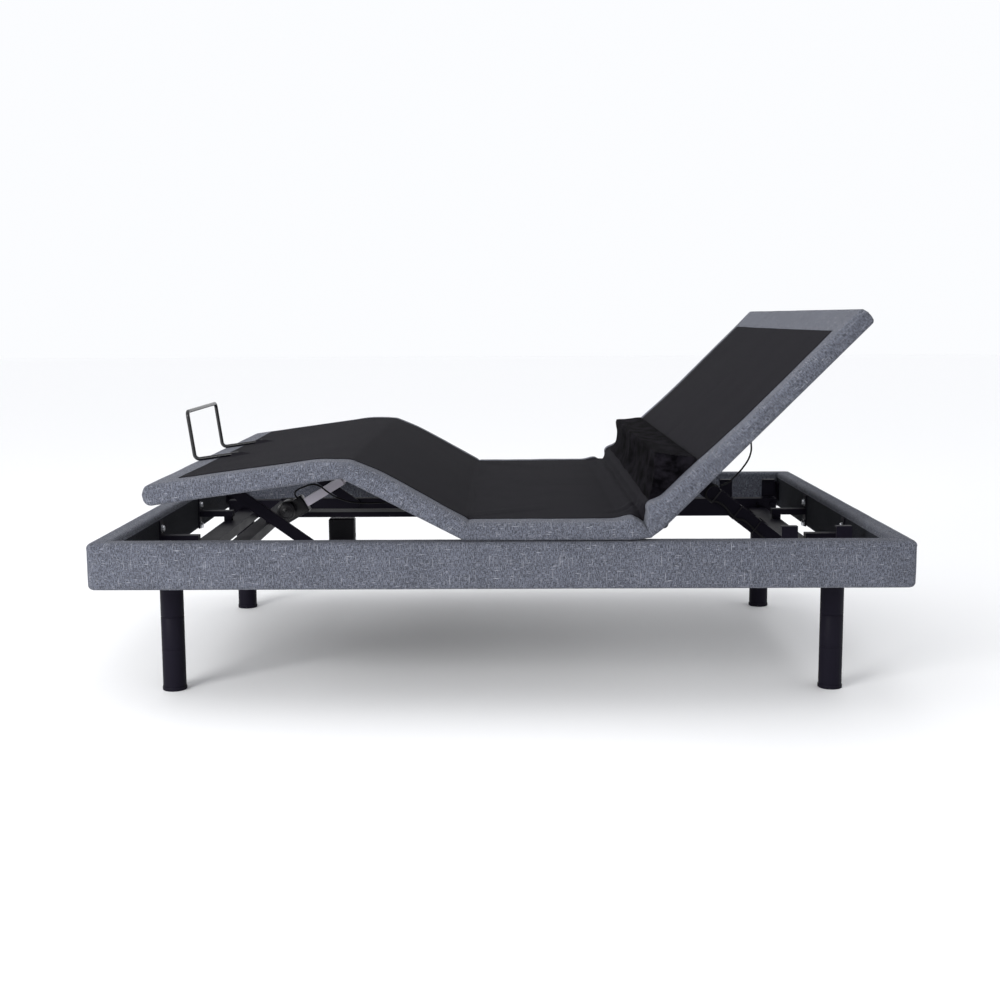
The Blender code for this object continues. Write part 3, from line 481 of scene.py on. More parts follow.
def rounded_section(width, low, high, radii, spacing):
    """A rounded rectangle from 0 to width and low to high; radii from the low outer corner on."""
    corners = [((0, low), (1, 1), pi), ((width, low), (-1, 1), 1.5 * pi), ((width, high), (-1, -1), 0.0),
               ((0, high), (1, -1), 0.5 * pi)]
    points = []
    for (corner, inward, start), radius in zip(corners, radii):
        centre = (corner[0] + inward[0] * radius, corner[1] + inward[1] * radius)
        bend = []
        for step in range(ARC_STEPS + 1):
            angle = start + pi / 2 * step / ARC_STEPS
            bend.append((centre[0] + radius * cos(angle), centre[1] + radius * sin(angle)))
        if points:
            points += between(points[-1], bend[0], spacing)
        points += bend
    return points + between(points[-1], points[0], spacing)


def between(first, second, spacing):
    """Points strictly between two others, no further apart than spacing."""
    count = int(hypot(second[0] - first[0], second[1] - first[1]) / spacing)
    return [(first[0] + (second[0] - first[0]) * step / (count + 1),
             first[1] + (second[1] - first[1]) * step / (count + 1)) for step in range(1, count + 1)]


rail_section = rounded_section(RAIL, rail_low.z, rail_high.z, (0.013, 0.008, 0.010, 0.014), 0.007)


def upholstered_rail(name, half_long, outer, quarter):
    """A rail along X at +Y, turned about Z to its side of the bed by quarter right angles."""
    count = int((2 * half_long - 2 * MITRE) / RAIL_STEP)
    middle = [MITRE - half_long + (2 * half_long - 2 * MITRE) * step / count for step in range(count + 1)]
    stations = ([-half_long + end for end in RAIL_ENDS] + middle
                + [half_long - end for end in reversed(RAIL_ENDS)])
    centre_z = (rail_low.z + rail_high.z) / 2
    half_z = (rail_high.z - rail_low.z) / 2
    turn = Matrix.Rotation(quarter * pi / 2, 3, "Z")

    def on_rail(station, point):
        depth, z = point
        end = half_long - abs(station)
        tuck = TUCK * max(0.0, 1 - end / 0.005)
        depth += tuck * (1 - 2 * depth / RAIL)
        z += tuck * (centre_z - z) / half_z
        lean = max(0.0, 1 - end / MITRE)
        x = (half_long - end - depth * lean) * (1 if station > 0 else -1)
        y = outer - depth
        beyond = Vector((abs(x) - half_long + CORNER, y - outer + CORNER))
        if beyond.x > 0 and beyond.y > 0:
            beyond *= max(beyond) / beyond.length
            x = (half_long - CORNER + beyond.x) * (1 if x > 0 else -1)
            y = outer - CORNER + beyond.y
        height = (z - centre_z) / half_z
        loose = noise.noise(Vector((x * 7, height * 1.2, quarter * 5.0)))
        fine = noise.noise(Vector((x * 30, height * 3, quarter * 9.0 + 2)))
        face = 1 - min(1.0, abs(depth - RAIL / 2) / (RAIL / 2))
        swell = (0.0012 * (1 - height ** 2) + 0.0011 * loose + 0.0005 * fine) * min(1.0, end / TIGHT)
        if depth < RAIL / 2:
            swell += RIDGE * hump(z, rail_high.z - RIDGE_DROP, 0.0045) * min(1.0, end / TIGHT)
        y += swell * (1 - face) * (1 if depth < RAIL / 2 else -1)
        z += (0.0009 * loose + 0.0004 * fine) * face * (1 if height > 0 else -1)
        return turn @ Vector((x, y, z))

    rail = skin(name, stations, rail_section, on_rail)
    rail.data.materials.append(linen)
    rail.data.materials.append(felt_and_painted_shade)
    inward = turn @ Vector((0, -1, 0))
    # The end rails' inner faces below the top edge take the black felt, which paints the shade inside the
    # surround.
    for face in rail.data.polygons:
        if quarter % 2 and face.normal.dot(inward) > 0.7 and face.center.z < rail_high.z - 0.014:
            face.material_index = 1
    return rail


half_length, half_width = cad_high.x, cad_high.y
for node, long_way, outer, quarter in (("side_rail_near", half_length, half_width, 2),
                                       ("side_rail_far", half_length, half_width, 0),
                                       ("foot_rail", half_width, half_length, 1),
                                       ("head_rail", half_width, half_length, 3)):
    rail = upholstered_rail(node + "_upholstery", long_way, outer, quarter)
    fit(rail, node + "_upholstery", linen, "root", "linen", node)


# Deck: four boards with thin foam under one cover of the same cloth. The cover folds at the
# hip and the waist and is stretched over the knee. Its underside is closed with black felt.
joint_at = {joint["name"]: Vector(joint["pos_m"]) for joint in frame["joints"] if "pos_m" in joint}
hip, knee, waist = (Vector((joint_at[hinge].x, 0, joint_at[hinge].z))
                    for hinge in ("thigh_hinge", "knee_hinge", "back_hinge"))
THIGH_TILT = atan2(knee.z - hip.z, hip.x - knee.x)
FOOT_TILT = radians(7.9)
BACK_TILT = radians(45)
PANEL_LOW = 0.012               # the panels' undersides and tops, above the hinge axes
PANEL_HIGH = 0.057
THIGH = hypot(knee.x - hip.x, knee.z - hip.z)
SEAT = waist.x - hip.x
BACK = 0.7540                   # lengths of the back and foot panels
FOOT = 0.4865
FAN = 0.055                     # station length given to the cover's bend over the knee
FOOT_ROUND, HEAD_ROUND = 0.0222, 0.0120     # radii of the deck's two round ends
HIP_CREASE = 0.032              # how far the cloth on each side leans into a crease
WAIST_CREASE = 0.050
BORDER = 0.655                  # the bare border starts this far from the middle
DECK_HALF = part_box("seat_panel")[1].y
deck_foot = -(THIGH + FAN + FOOT)
deck_head = SEAT + BACK


def ease(value):
    """A smooth step from 0 to 1 as value goes from 0 to 1."""
    value = max(0.0, min(1.0, value))
    return value * value * (3 - 2 * value)


def cloth_swell(station, y):
    """How far the cover's top stands above its flat place."""
    border = ease((abs(y) - BORDER) / 0.035)
    side = 1 if y > 0 else -1
    past = station - SEAT
    swell = 0.0065 * ease((-THIGH - FAN * 0.4 - station) / 0.06)
    swell -= 0.0060 * hump(station, -THIGH - FAN - 0.005, 0.040)
    swell += 0.0064 * ease((station + THIGH + FAN * 0.4) / 0.110) * ease(-station / 0.26)
    # The waist: a knuckle on each side of the border's crease; in the middle slack cloth bridges it
    swell += 0.008 * ease(past / 0.06) * (1 - ease((past - 0.15) / 0.25))
    swell += border * (0.0090 * hump(past, -0.054, 0.026) + 0.0125 * hump(past, 0.062, 0.023))
    swell -= border * 0.008 * hump(past, 0.0, 0.012)
    bridge = 0.0130 - 0.0040 * ease((y - 0.3) / 0.3)
    swell += (1 - border) * bridge * ease((past + 0.085) / 0.060) * (1 - ease((past - 0.052) / 0.05))
    slack = hump(past, -0.035, 0.050) * ease(-side)
    swell += 0.0060 * slack * hump(abs(y) + 0.5 * past, 0.600, 0.020) * (1 - border)
    swell -= 0.0040 * slack * hump(abs(y) + 0.6 * past, 0.560, 0.018)
    swell += 0.0045 * slack * hump(abs(y) + 0.7 * past, 0.515, 0.024)
    # The hip: a soft pleat that runs off the hinge over the thigh
    swell += 0.0025 * (1 - border) * hump(station, 0.0, 0.018)
    swell -= 0.002 * border * hump(station, 0.0, 0.008)
    fold = station + 1.35 * (abs(y) - 0.69)
    swell += 0.0030 * hump(fold, -0.03, 0.014) * hump(abs(y), 0.60, 0.10) * (1 - border)
    swell += 0.0020 * hump(fold, -0.085, 0.020) * hump(abs(y), 0.56, 0.10) * (1 - border)
    swell += 0.0014 * noise.noise(Vector((station * 5, y * 4 + side, 1.0)))
    swell += 0.0006 * noise.noise(Vector((station * 18, y * 9, 4.0)))
    return swell


def deck_place(station, y, height):
    """The place of a point of the deck at a station along it, y across and height above the hinges."""
    if station > SEAT / 2:
        beyond = station - SEAT
        lean = height * tan(BACK_TILT / 2)
        reach = abs(beyond)
        if reach < WAIST_CREASE:
            reach = lean + reach / WAIST_CREASE * (WAIST_CREASE - lean)
        tilt = BACK_TILT if beyond > 0 else 0.0
        reach = reach if beyond > 0 else -reach
        return waist + Vector((reach * cos(tilt) - height * sin(tilt), y,
                               reach * sin(tilt) + height * cos(tilt)))
    if station > -THIGH:
        lean = height * tan(THIGH_TILT / 2)
        reach = abs(station)
        if reach < HIP_CREASE:
            reach = lean + reach / HIP_CREASE * (HIP_CREASE - lean)
        if station > 0:
            return hip + Vector((reach, y, height))
        return hip + Vector((-reach * cos(THIGH_TILT) + height * sin(THIGH_TILT), y,
                             reach * sin(THIGH_TILT) + height * cos(THIGH_TILT)))
    over = min(1.0, (-THIGH - station) / FAN)
    tilt = THIGH_TILT - over * (THIGH_TILT + FOOT_TILT)
    reach = min(0.0, station + THIGH + FAN)
    return knee + Vector((reach * cos(FOOT_TILT) + height * sin(tilt), y,
                          reach * sin(FOOT_TILT) + height * cos(tilt)))


def end_inset(station):
    """How far the cover draws in at a station by one of its round ends, and that end's radius."""
    end, radius = station - deck_foot, FOOT_ROUND
    if station > 0:
        end, radius = deck_head - station, HEAD_ROUND
    if end >= radius:
        return 0.0, radius
    return radius - sqrt(max(0.0, radius ** 2 - (radius - end) ** 2)), radius


def on_cover(station, point):
    """The place of a point of the cover's section, with its round edges, foam and folds."""
    across, height = point
    y = across - DECK_HALF
    share = (height - PANEL_LOW) / (PANEL_HIGH - PANEL_LOW)
    inset, radius = end_inset(station)
    edge = 1 - min(1.0, (DECK_HALF - abs(y)) / 0.012)
    middle = 1 - (2 * share - 1) ** 2
    crowd = 1.5 * hump(station, SEAT, 0.007) + 0.3 * hump(station, 0.0, 0.008)
    outward = 0.0022 * middle + 0.0010 * noise.noise(Vector((station * 14, share * 2, y * 0.1)))
    outward += 0.0026 * hump(share, 0.74, 0.08) - 0.006 * crowd * share
    y *= (DECK_HALF - inset + outward * edge) / DECK_HALF
    height = PANEL_LOW + inset + share * (PANEL_HIGH - PANEL_LOW - 2 * inset)
    height += cloth_swell(station, y) * max(0.0, share) ** 2 * (1 - inset / radius)
    height += 0.005 * hump(station, SEAT, 0.030) * (1 - min(1.0, share)) ** 2
    return deck_place(station, y, height)


RETAINER_MOUTH = -0.370         # along the foot panel: where the retainer's feet pass under the cloth
DECK_STEP = 0.014               # the widest space between two stations
JOINT_WIDTH = 0.12              # stations lie closer together this near to a joint


def stations_between(start, end, joint):
    """Stations from start to end, closer together near a joint and at the deck's round ends."""
    found, place = [start], start
    while place < end - 1e-6:
        step = DECK_STEP
        if abs(place - (RETAINER_MOUTH - THIGH - FAN)) < DECK_STEP:
            step = 0.002
        if abs(place - joint) < JOINT_WIDTH:
            step = 0.004
        if end_inset(place)[0] > 0 or end_inset(place + step)[0] > 0:
            step = 0.0025
        place = min(end, place + step)
        if end - place < step * 0.4:
            place = end
        found.append(place)
    return found


mid_thigh, mid_seat = -THIGH / 2, SEAT / 2
foot_along = Vector((cos(FOOT_TILT), 0, sin(FOOT_TILT)))
thigh_along = Vector((cos(THIGH_TILT), 0, -sin(THIGH_TILT)))
back_along = Vector((cos(BACK_TILT), 0, sin(BACK_TILT)))
BEND_REACH = 0.035              # the spans' turning limits lie this far from the knee and hip hinges
WAIST_REACH = 0.060
# Each length's name, its ends and its joint along the deck, its two bodies, where it starts
# and stops turning, and the panels that it stands for
DECK_SPANS = (
    ("knee", deck_foot, mid_thigh, -THIGH - FAN / 2, ("foot", "thigh"),
     knee - foot_along * BEND_REACH, knee + thigh_along * BEND_REACH, ("foot_panel", "thigh_panel")),
    ("hip", mid_thigh, mid_seat, 0.0, ("thigh", "carriage"),
     hip - thigh_along * BEND_REACH, hip + Vector((BEND_REACH, 0, 0)), ("seat_panel",)),
    ("waist", mid_seat, deck_head, SEAT, ("carriage", "back"),
     waist - Vector((WAIST_REACH, 0, 0)), waist + back_along * WAIST_REACH, ("back_panel",)),
)
deck_section = rounded_section(2 * DECK_HALF, PANEL_LOW, PANEL_HIGH, (0.010, 0.010, 0.012, 0.012), 0.009)
FELT_MARGIN = 0.05              # the cloth is turned under by this much round the felt
for name, start, end, joint, bodies, bend_from, bend_to, stood_for in DECK_SPANS:
    cover = skin(f"deck_cover_{name}", stations_between(start, end, joint), deck_section, on_cover)
    cover.data.materials.append(linen)
    cover.data.materials.append(felt_and_painted_shade)
    along = cover.data.uv_layers.active.data
    for face in cover.data.polygons:
        inside = deck_foot + FELT_MARGIN < along[face.loop_start].uv.x < deck_head - FELT_MARGIN
        if face.normal.z < -0.4 and abs(face.center.y) < DECK_HALF - FELT_MARGIN and inside:
            face.material_index = 1
    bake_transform(cover)
    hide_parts(*stood_for)


# Non-slip cloth: a black knit laid over the middle of the deck and sewn down along its
# edges, so that the mattress stays where it is.
knit = woven("black_nonslip_knit", (0.0075, 0.0070, 0.0092), (0.0125, 0.0118, 0.0155),
             (0.022, 0.021, 0.027), threads=700.0, slub=0.15, bump=0.35, depth=0.0003, Roughness=0.9,
             Specular_IOR_Level=0.06)
KNIT_HALF = 0.690
KNIT_LIFT = 0.0009              # its underside's height above the cover
KNIT_THICK = 0.0010
knit_foot = deck_foot + 0.083   # the ends of the cloth along the deck
knit_head = SEAT + 0.672
RETAINER_HALF = 0.190           # the retainer's feet lie this far from the middle


def over_feet(station, y):
    """How far the cloth is lifted by the retainer's feet under it."""
    past = station + THIGH + FAN - RETAINER_MOUTH
    rise = ease((past + 0.002) / 0.004) * (1 - ease((past - 0.018) / 0.045))
    return 0.0098 * rise * hump(abs(y) - RETAINER_HALF, 0.0, 0.009)


def cloth_places():
    """Places across the cloth, closer together over the retainer's feet."""
    places = [-KNIT_HALF]
    while places[-1] < KNIT_HALF - 1e-6:
        step = 0.003 if abs(abs(places[-1] + 0.008) - RETAINER_HALF) < 0.024 else 0.016
        places.append(min(KNIT_HALF, places[-1] + step))
    return places


def nonslip_cloth(name, stations):
    """A length of the knit over the deck's top, from the first station to the last."""
    places = cloth_places()
    columns = len(places) - 1
    bpy.ops.object.select_all(action="DESELECT")
    bpy.ops.mesh.primitive_grid_add(x_subdivisions=columns, y_subdivisions=len(stations) - 1, size=1)
    sheet = bpy.context.active_object
    sheet.name = name
    mesh = sheet.data
    coords = mesh.uv_layers.active.data
    row = columns + 1
    spots = [(stations[index // row], places[index % row]) for index in range(len(mesh.vertices))]
    for vertex, (station, y) in zip(mesh.vertices, spots):
        raised = cloth_swell(station, y) + over_feet(station, y)
        vertex.co = deck_place(station, y, PANEL_HIGH + raised + KNIT_LIFT)
    for corner in mesh.loops:
        coords[corner.index].uv = spots[corner.vertex_index]
    bpy.ops.object.mode_set(mode="EDIT")
    bpy.ops.mesh.select_all(action="SELECT")
    bpy.ops.mesh.normals_make_consistent(inside=False)
    bpy.ops.object.mode_set(mode="OBJECT")
    if mesh.polygons[0].normal.z < 0:
        mesh.flip_normals()
    wall = sheet.modifiers.new("thickness", "SOLIDIFY")
    wall.thickness = KNIT_THICK
    wall.offset = 1
    bpy.ops.object.modifier_apply(modifier=wall.name)
    bpy.ops.object.shade_smooth_by_angle(angle=radians(50))
    return sheet


for name, start, end, joint, bodies, bend_from, bend_to, _ in DECK_SPANS:
    start, end = max(start, knit_foot), min(end, knit_head)
    sheet = nonslip_cloth(f"nonslip_cloth_{name}", stations_between(start, end, joint))
    sheet.data.materials.append(knit)
    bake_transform(sheet)


# Lumbar lift: a hinged board under a loose gusset of short-pile plush. The gusset is sewn to
# the non-slip cloth along its edges, and hangs in soft folds on the side that faces the seat.
plush, plush_tree, plush_shader = finish_of("black_plush", Roughness=0.95, Specular_IOR_Level=0.02)
plush_place = plush_tree.nodes.new("ShaderNodeTexCoord").outputs["Object"]
brushed = stretched_noise(plush_tree, plush_place, (22, 13, 30), detail=4, roughness=0.65)
pile = stretched_noise(plush_tree, plush_place, (900, 900, 900), detail=2)
nap = maths(plush_tree, "MULTIPLY_ADD", maths(plush_tree, "SUBTRACT", brushed, 0.5), 4.5, 0.42, clamp=True)
plush_tree.links.new(blended(plush_tree, nap, (0.0012, 0.0011, 0.0016), (0.0095, 0.0086, 0.0115)),
                     plush_shader.inputs["Base Color"])
add_relief(plush_tree, plush_shader, pile, strength=0.6, depth=0.0012)

PLUSH_HALF = 0.690
PLUSH_APEX = Vector((0.160, 0.138))     # along the back from the waist hinge, and above it
BASE = PANEL_HIGH + 0.0095              # height of the gusset's sewn edges
SEAM_ROUND = 0.006                      # radius of the seams at the gusset's two ends
PLUSH_END = 0.016                       # how far from an end the even stations start
PLUSH_STEP = 0.007
PLUSH_PROFILE = [(0.222, BASE), (0.200, BASE), (0.150, BASE), (0.100, BASE), (0.045, BASE),
                 (0.047, BASE + 0.002), (0.060, 0.0735), (0.085, 0.088), (0.110, 0.104), (0.135, 0.121),
                 (0.152, 0.134), tuple(PLUSH_APEX), (0.167, 0.131), (0.180, 0.115), (0.195, 0.100),
                 (0.210, 0.086), (0.2215, BASE + 0.006)]


def refined(profile, spacing):
    """A closed profile with points added, so that none lie further apart than spacing."""
    points = []
    for first, second in zip(profile, [*profile[1:], profile[0]]):
        points += [first, *between(first, second, spacing)]
    return points


def on_gusset(station, point):
    """The place of a point of the gusset's profile, with its folds, sag and drawn-in ends."""
    along, height = point
    end = PLUSH_HALF - abs(station)
    far = station / (2 * PLUSH_HALF) + 0.5
    draw = SEAM_ROUND - sqrt(max(0.0, SEAM_ROUND ** 2 - max(0.0, SEAM_ROUND - end) ** 2))
    above = max(0.0, (height - BASE) / (PLUSH_APEX.y - BASE))
    front = ease((PLUSH_APEX.x + 0.002 - along) / 0.030) * min(1.0, above * 2.5)
    folds = noise.noise(Vector((station * 9 + along * 8, along * 5, 2.0)))
    folds += 0.22 * noise.noise(Vector((station * 24 - along * 20, height * 8, 7.0)))
    folds *= 0.25 + 0.75 * min(1.0, end / 0.08)
    top = min(1.0, above * 1.5) * (1 - front)
    push = front * min(1.0, above * 3) * 0.0070 * folds + top * 0.0010 * folds - draw * above
    flare = 0.020 * far * front * sin(pi * min(1.0, above))
    sag = 0.005 * noise.noise(Vector((station * 3.2, 0.5, 3.0))) * front
    height += 0.011 * above * (1 - 2 * far) + push * 0.8 - flare
    along += 0.003 * above * (1 - 2 * far) - push * 0.5 - sag
    y = station * (1 - 0.012 * above * max(0.0, 1 - end / 0.25))
    y += 0.003 * above * noise.noise(Vector((along * 30, height * 30, station))) * max(0.0, 1 - end / 0.05)
    return waist + Vector((along * cos(BACK_TILT) - height * sin(BACK_TILT), y,
                           along * sin(BACK_TILT) + height * cos(BACK_TILT)))


plush_ends = [0.0, 0.0006, 0.002, 0.004, 0.007, 0.011]
plush_count = int(2 * (PLUSH_HALF - PLUSH_END) / PLUSH_STEP)
plush_stations = ([-PLUSH_HALF + end for end in plush_ends]
                  + [-PLUSH_HALF + PLUSH_END + 2 * (PLUSH_HALF - PLUSH_END) * step / plush_count
                     for step in range(plush_count + 1)]
                  + [PLUSH_HALF - end for end in reversed(plush_ends)])
gusset = skin("lumbar_gusset", plush_stations, refined(PLUSH_PROFILE, 0.006), on_gusset)
back_normal = Vector((-sin(BACK_TILT), 0, cos(BACK_TILT)))
fit(gusset, "lumbar_gusset", plush, "back", "plush", "lumbar_cover", "lumbar_board")
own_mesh(gusset)


# Mattress retainer: one bent steel bar with a glossy black coat, whose feet pass under the
# non-slip cloth at the foot end.
bar_coat = coated("glossy_black_coat", (0.004, 0.004, 0.006), 0.22, dust=0.01, bump=0.03,
                  Specular_IOR_Level=0.45)
BAR = 0.0054                    # radius of the bar
BEND = 0.014                    # radius of its bends
BEND_STEPS = 8
foot_up = Vector((-sin(FOOT_TILT), 0, cos(FOOT_TILT)))


def on_foot_panel(along, y, above):
    """A place along the foot panel from the knee, y across and above the hinge line."""
    return knee + foot_along * along + foot_up * above + Vector((0, y, 0))


def corner_bend(corner, before, after):
    """Points of a round bend at corner, between the directions of two neighbours."""
    to_before = (before - corner).normalized() * BEND
    to_after = (after - corner).normalized() * BEND
    centre = corner + to_before + to_after
    return [centre - to_after * cos(pi / 2 * step / BEND_STEPS) - to_before * sin(pi / 2 * step / BEND_STEPS)
            for step in range(BEND_STEPS + 1)]


bar_height = PANEL_HIGH + BAR + 0.0070      # the height at which the feet lie on the panel
bar_top = 0.206                             # the height of its top above the hinge line
bar_end = RETAINER_MOUTH + 0.022            # the feet end this far under the cloth
RETAINER_OUT = -0.474                       # where the bar turns up, along the foot panel
corners = [on_foot_panel(bar_end, -RETAINER_HALF, bar_height),
           on_foot_panel(RETAINER_OUT, -RETAINER_HALF, bar_height),
           on_foot_panel(RETAINER_OUT, -RETAINER_HALF, bar_top),
           on_foot_panel(RETAINER_OUT, RETAINER_HALF, bar_top),
           on_foot_panel(RETAINER_OUT, RETAINER_HALF, bar_height),
           on_foot_panel(bar_end, RETAINER_HALF, bar_height)]
route = [corners[0]]
for before, corner, after in zip(corners, corners[1:], corners[2:]):
    route += corner_bend(corner, before, after)
route.append(corners[-1])


def tube_of(name, points, radius, resolution=6):
    """A curve with a round section along the points, with its caps filled."""
    curve = bpy.data.curves.new(name, "CURVE")
    curve.dimensions = "3D"
    curve.bevel_depth = radius
    curve.bevel_resolution = resolution
    curve.use_fill_caps = True
    line = curve.splines.new("POLY")
    line.points.add(len(points) - 1)
    for knot, place in zip(line.points, points):
        knot.co = (*place, 1)
    line.use_smooth = True
    piece = bpy.data.objects.new(name, curve)
    bpy.context.scene.collection.objects.link(piece)
    return piece


retainer = tube_of("retainer_bar", route, BAR)
retainer.data.materials.append(bar_coat)
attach(retainer, "foot")
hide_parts("mattress_retainer")


# Linear drives: a moulded case with a screwed lid and a motor across it, whose ends have a
# rim, a hub and a clamp band. The guide tubes and push rods are the plain metal ones.
def lying(y, radius, depth, x, z, edge=0.0008, sides=48):
    """A cylinder across the drive whose middle is at y."""
    bpy.ops.mesh.primitive_cylinder_add(vertices=sides, radius=radius, depth=depth, location=(x, y, z),
                                        rotation=(pi / 2, 0, 0))
    return rounded_edges(bpy.context.active_object, edge)


def moulded_block(low, high, edge):
    """A block between two corners, with rounded edges."""
    low, high = Vector(low), Vector(high)
    bpy.ops.mesh.primitive_cube_add(size=1, location=(low + high) / 2)
    block = bpy.context.active_object
    block.scale = high - low
    bpy.ops.object.transform_apply(location=False, rotation=False, scale=True)
    return rounded_edges(block, edge, segments=3)


def drive_axis(pivot, rod_node):
    """The frame of a linear drive: its pivot and the direction of its push rod."""
    low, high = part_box(rod_node)
    run = (low + high) / 2 - pivot
    return Matrix.Translation(pivot) @ Matrix.Rotation(-atan2(run.z, run.x), 4, "Y")


# In the drive's own frame: X runs along the push rod from the pivot, and Y across the bed
CASE_END, CASE_SIDE, CASE_HALF = 0.102, 0.024, 0.026
MOTOR_X = 0.047
CAP = 0.0276                    # radius of the motor's end rings
SCREW_PLACES = [(x, z) for x in (0.031, CASE_END - 0.019) for z in (-0.0145, 0.0145)]
for drive, motor_z in (("leg_drive", 0.010), ("head_drive", 0.002)):
    case = moulded_block((0.020, -CASE_SIDE, -CASE_HALF), (CASE_END, CASE_SIDE, CASE_HALF), 0.004)
    lid = moulded_block((0.026, -CASE_SIDE - 0.0015, -CASE_HALF + 0.006),
                        (CASE_END - 0.006, -CASE_SIDE + 0.002, CASE_HALF - 0.006), 0.0012)
    clamp = moulded_block((CASE_END - 0.014, -0.0205, -CASE_HALF - 0.0015),
                          (CASE_END - 0.004, 0.0205, CASE_HALF + 0.0015), 0.0012)
    lugs = [moulded_block((x - 0.004, -0.0125, -0.0105), (x + 0.010, 0.0125, 0.0105), 0.002)
            for x in (-0.006, 0.014)]
    motor = [lying(-0.004, 0.0265, 0.101, MOTOR_X, motor_z, 0.0025, 64),
             lying(-0.0345, CAP, 0.006, MOTOR_X, motor_z),
             lying(0.0335, CAP, 0.004, MOTOR_X, motor_z),
             lying(-0.0552, 0.0105, 0.0032, MOTOR_X, motor_z, 0.001),
             lying(-0.0562, 0.0042, 0.0046, MOTOR_X, motor_z, 0.001, 6)]
    bpy.ops.mesh.primitive_torus_add(major_radius=0.0205, minor_radius=0.0024, major_segments=64,
                                     minor_segments=12, location=(MOTOR_X, -0.0542, motor_z),
                                     rotation=(pi / 2, 0, 0))
    rim = bpy.context.active_object
    screws = [lying(-CASE_SIDE - 0.0022, 0.0026, 0.0026, x, z, 0.0005, 16) for x, z in SCREW_PLACES
              if hypot(x - MOTOR_X, z - motor_z) > 0.031]
    parts = [case, lid, clamp, *lugs, *motor, rim, *screws]
    housing = joined(parts)
    bpy.ops.object.transform_apply(location=True, rotation=True, scale=True)
    housing.data.transform(drive_axis(joint_at[f"{drive}_pivot"], f"{drive}_rod"))
    bpy.ops.object.shade_smooth_by_angle(angle=radians(35))
    fit(housing, f"{drive}_case", black_plastic, drive, "plastic", f"{drive}_housing")


# Cables: a round black lead from the leg drive's motor that droops to the middle cross member,
# and one from under the back panel down to the near strut.
CABLE = 0.0025                  # radius of a lead
ROUTE_STEPS = 6


def smooth_route(knots):
    """A Catmull-Rom curve through the knots, with ROUTE_STEPS points to each stretch."""
    knots = [Vector(knot) for knot in knots]
    knots = [2 * knots[0] - knots[1], *knots, 2 * knots[-1] - knots[-2]]
    points = []
    for a, b, c, d in zip(knots, knots[1:], knots[2:], knots[3:]):
        for step in range(ROUTE_STEPS):
            t = step / ROUTE_STEPS
            points.append(0.5 * (2 * b + (c - a) * t + (2 * a - 5 * b + 4 * c - d) * t ** 2
                                 + (3 * b - a - 3 * c + d) * t ** 3))
    return [*points, knots[-2]]


cable_jacket = coated("cable_jacket", (0.005, 0.005, 0.006), 0.50, dust=0.02, grain=1500.0,
                      Specular_IOR_Level=0.15)
DRIVE_CABLE = [(-0.6102, -0.012, 0.4443), (-0.6150, -0.013, 0.4520), (-0.6140, -0.015, 0.4620),
               (-0.604, -0.018, 0.470), (-0.588, -0.022, 0.4770), (-0.570, -0.028, 0.4835),
               (-0.552, -0.036, 0.4860), (-0.534, -0.044, 0.4800), (-0.515, -0.052, 0.4670),
               (-0.4936, -0.060, 0.4545), (-0.467, -0.072, 0.4450), (-0.4375, -0.088, 0.4400),
               (-0.3985, -0.104, 0.4392), (-0.353, -0.118, 0.4425), (-0.300, -0.124, 0.4450),
               (-0.245, -0.124, 0.4430), (-0.190, -0.122, 0.4340), (-0.140, -0.120, 0.4200),
               (-0.105, -0.120, 0.4080), (-0.0805, -0.120, 0.4030)]
BACK_CABLE = [(0.6685, -0.200, 0.7315), (0.679, -0.200, 0.721), (0.690, -0.200, 0.700),
              (0.697, -0.200, 0.670), (0.702, -0.200, 0.640), (0.705, -0.201, 0.612),
              (0.704, -0.203, 0.594), (0.697, -0.206, 0.574), (0.684, -0.211, 0.555),
              (0.668, -0.217, 0.537), (0.641, -0.229, 0.514), (0.612, -0.241, 0.502)]


def lead_along(name, points):
    """A lead's jacket along the points, as a mesh."""
    lead = tube_of(name, points, CABLE, resolution=4)
    bpy.ops.object.select_all(action="DESELECT")
    lead.select_set(True)
    bpy.context.view_layer.objects.active = lead
    bpy.ops.object.convert(target="MESH")
    lead = bpy.context.active_object
    lead.data.materials.append(cable_jacket)
    return lead


# Each cable is a smooth lead through its knots that rides with its body
for name, knots, body, joint, flatten, anchor, keep in (
        ("drive_cable", DRIVE_CABLE, "carriage", "thigh_hinge", (0, 0, 1), (-0.5, 0, 0.3707), 0.5),
        ("back_cable", BACK_CABLE, "back", "back_hinge", back_normal, waist + back_normal * 0.009, 0.3)):
    points = smooth_route(knots)
    lead = lead_along(name + "_lead", points)
    bpy.ops.object.mode_set(mode="EDIT")
    bpy.ops.mesh.select_all(action="SELECT")
    bpy.ops.mesh.remove_doubles(threshold=0.00001)
    bpy.ops.object.mode_set(mode="OBJECT")
    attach(lead, body)
    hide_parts(name)
    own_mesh(lead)


# Strut lead: the back cable's run down the near strut's outer face. It wanders a little, and
# three moulded plastic ties pulled round the strut's square tube hold it.
strut_low, strut_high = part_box("back_strut_near")
strut_foot = joint_at["strut_pivot"]
strut_run = (strut_low + strut_high) / 2 - strut_foot
strut_run = Vector((strut_run.x, 0, strut_run.z)).normalized()
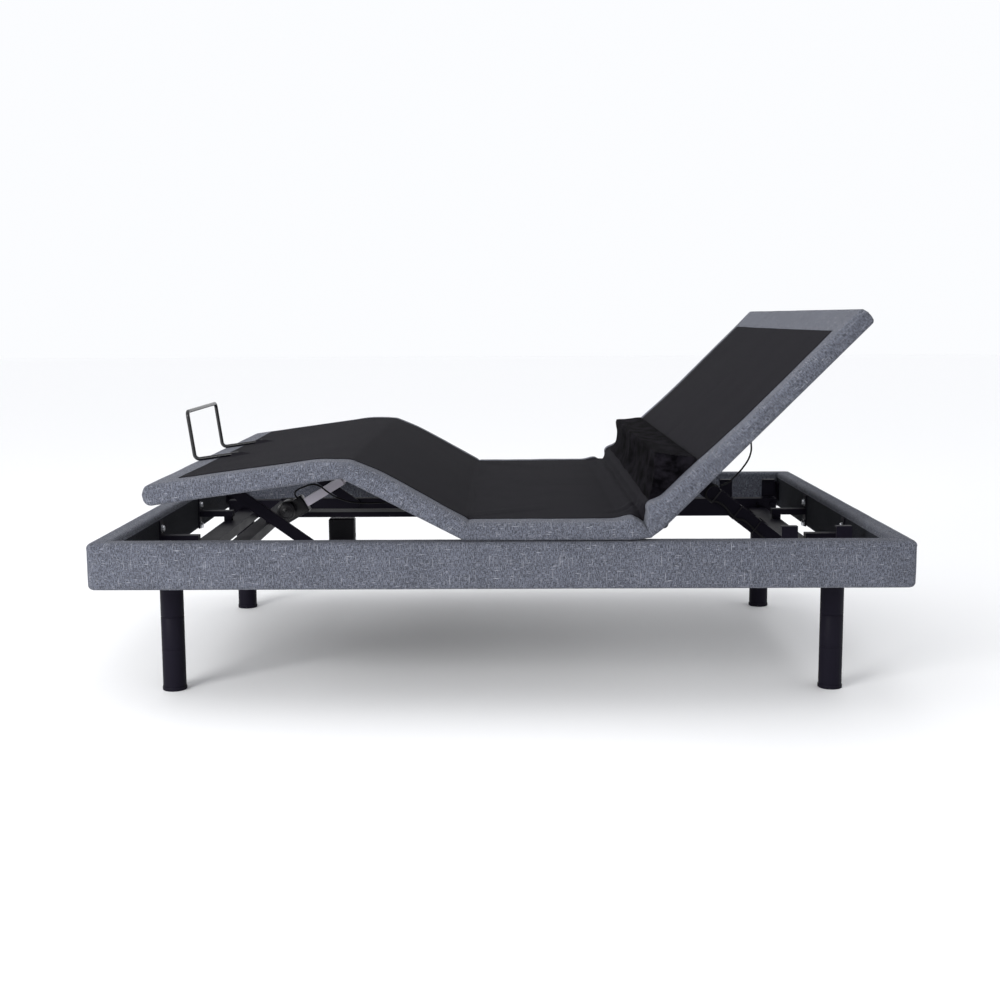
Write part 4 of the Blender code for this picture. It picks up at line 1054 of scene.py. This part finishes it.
strut_up = Vector((-strut_run.z, 0, strut_run.x)) * (1 if strut_run.x > 0 else -1)
# Each knot's distance along the strut from its foot, above its middle and out from its face
STRUT_LEAD = [(0.244, 0.0245, 0.010), (0.254, 0.0245, 0.0), (0.261, 0.016, -CABLE), (0.264, 0.0, -CABLE),
              (0.2600, -0.0130, -CABLE), (0.2480, -0.0190, -CABLE), (0.2351, -0.0185, -CABLE),
              (0.2227, -0.0110, -CABLE), (0.2060, -0.0080, -CABLE), (0.1894, -0.0095, -CABLE),
              (0.1680, -0.0150, -CABLE), (0.1480, -0.0156, -CABLE), (0.1325, -0.0070, -CABLE),
              (0.1100, -0.0070, -CABLE), (0.0756, -0.0115, -CABLE), (0.052, -0.0110, -CABLE)]


def on_strut(along, above, out):
    """A place on the near strut, along and above its middle line and out from its near face."""
    beside = Vector((0, strut_low.y - strut_foot.y + out, 0))
    return strut_foot + strut_run * along + strut_up * above + beside


points = smooth_route([on_strut(*knot) for knot in STRUT_LEAD])
lead = lead_along("strut_lead", points)
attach(lead, "struts")
STRUT_HALF, STRUT_THICK = 0.022, strut_high.y - strut_low.y
TIE_PLACES = (0.232, 0.158, 0.090)
TIE_WIDE, TIE_THICK, TIE_GAP = 0.0035, 0.0009, 0.0003
upright_band = Vector((TIE_WIDE, TIE_THICK, 2 * STRUT_HALF + 0.0014))
flat_band = Vector((TIE_WIDE, STRUT_THICK + 2 * CABLE, TIE_THICK))
ties = []
for along in TIE_PLACES:
    for above, out, size in ((0, -2 * CABLE - TIE_GAP, upright_band),
                             (0, STRUT_THICK + 0.0005, upright_band),
                             (STRUT_HALF + TIE_GAP, STRUT_THICK / 2 - CABLE, flat_band),
                             (-STRUT_HALF - TIE_GAP, STRUT_THICK / 2 - CABLE, flat_band)):
        strap = moulded_block(-size / 2, size / 2, 0.0003)
        strap.data.transform(Matrix.Rotation(-atan2(strut_run.z, strut_run.x), 4, "Y"))
        strap.location = on_strut(along, above, out)
        ties.append(strap)
fit(joined(ties), "strut_ties", black_plastic, "struts", "plastic")
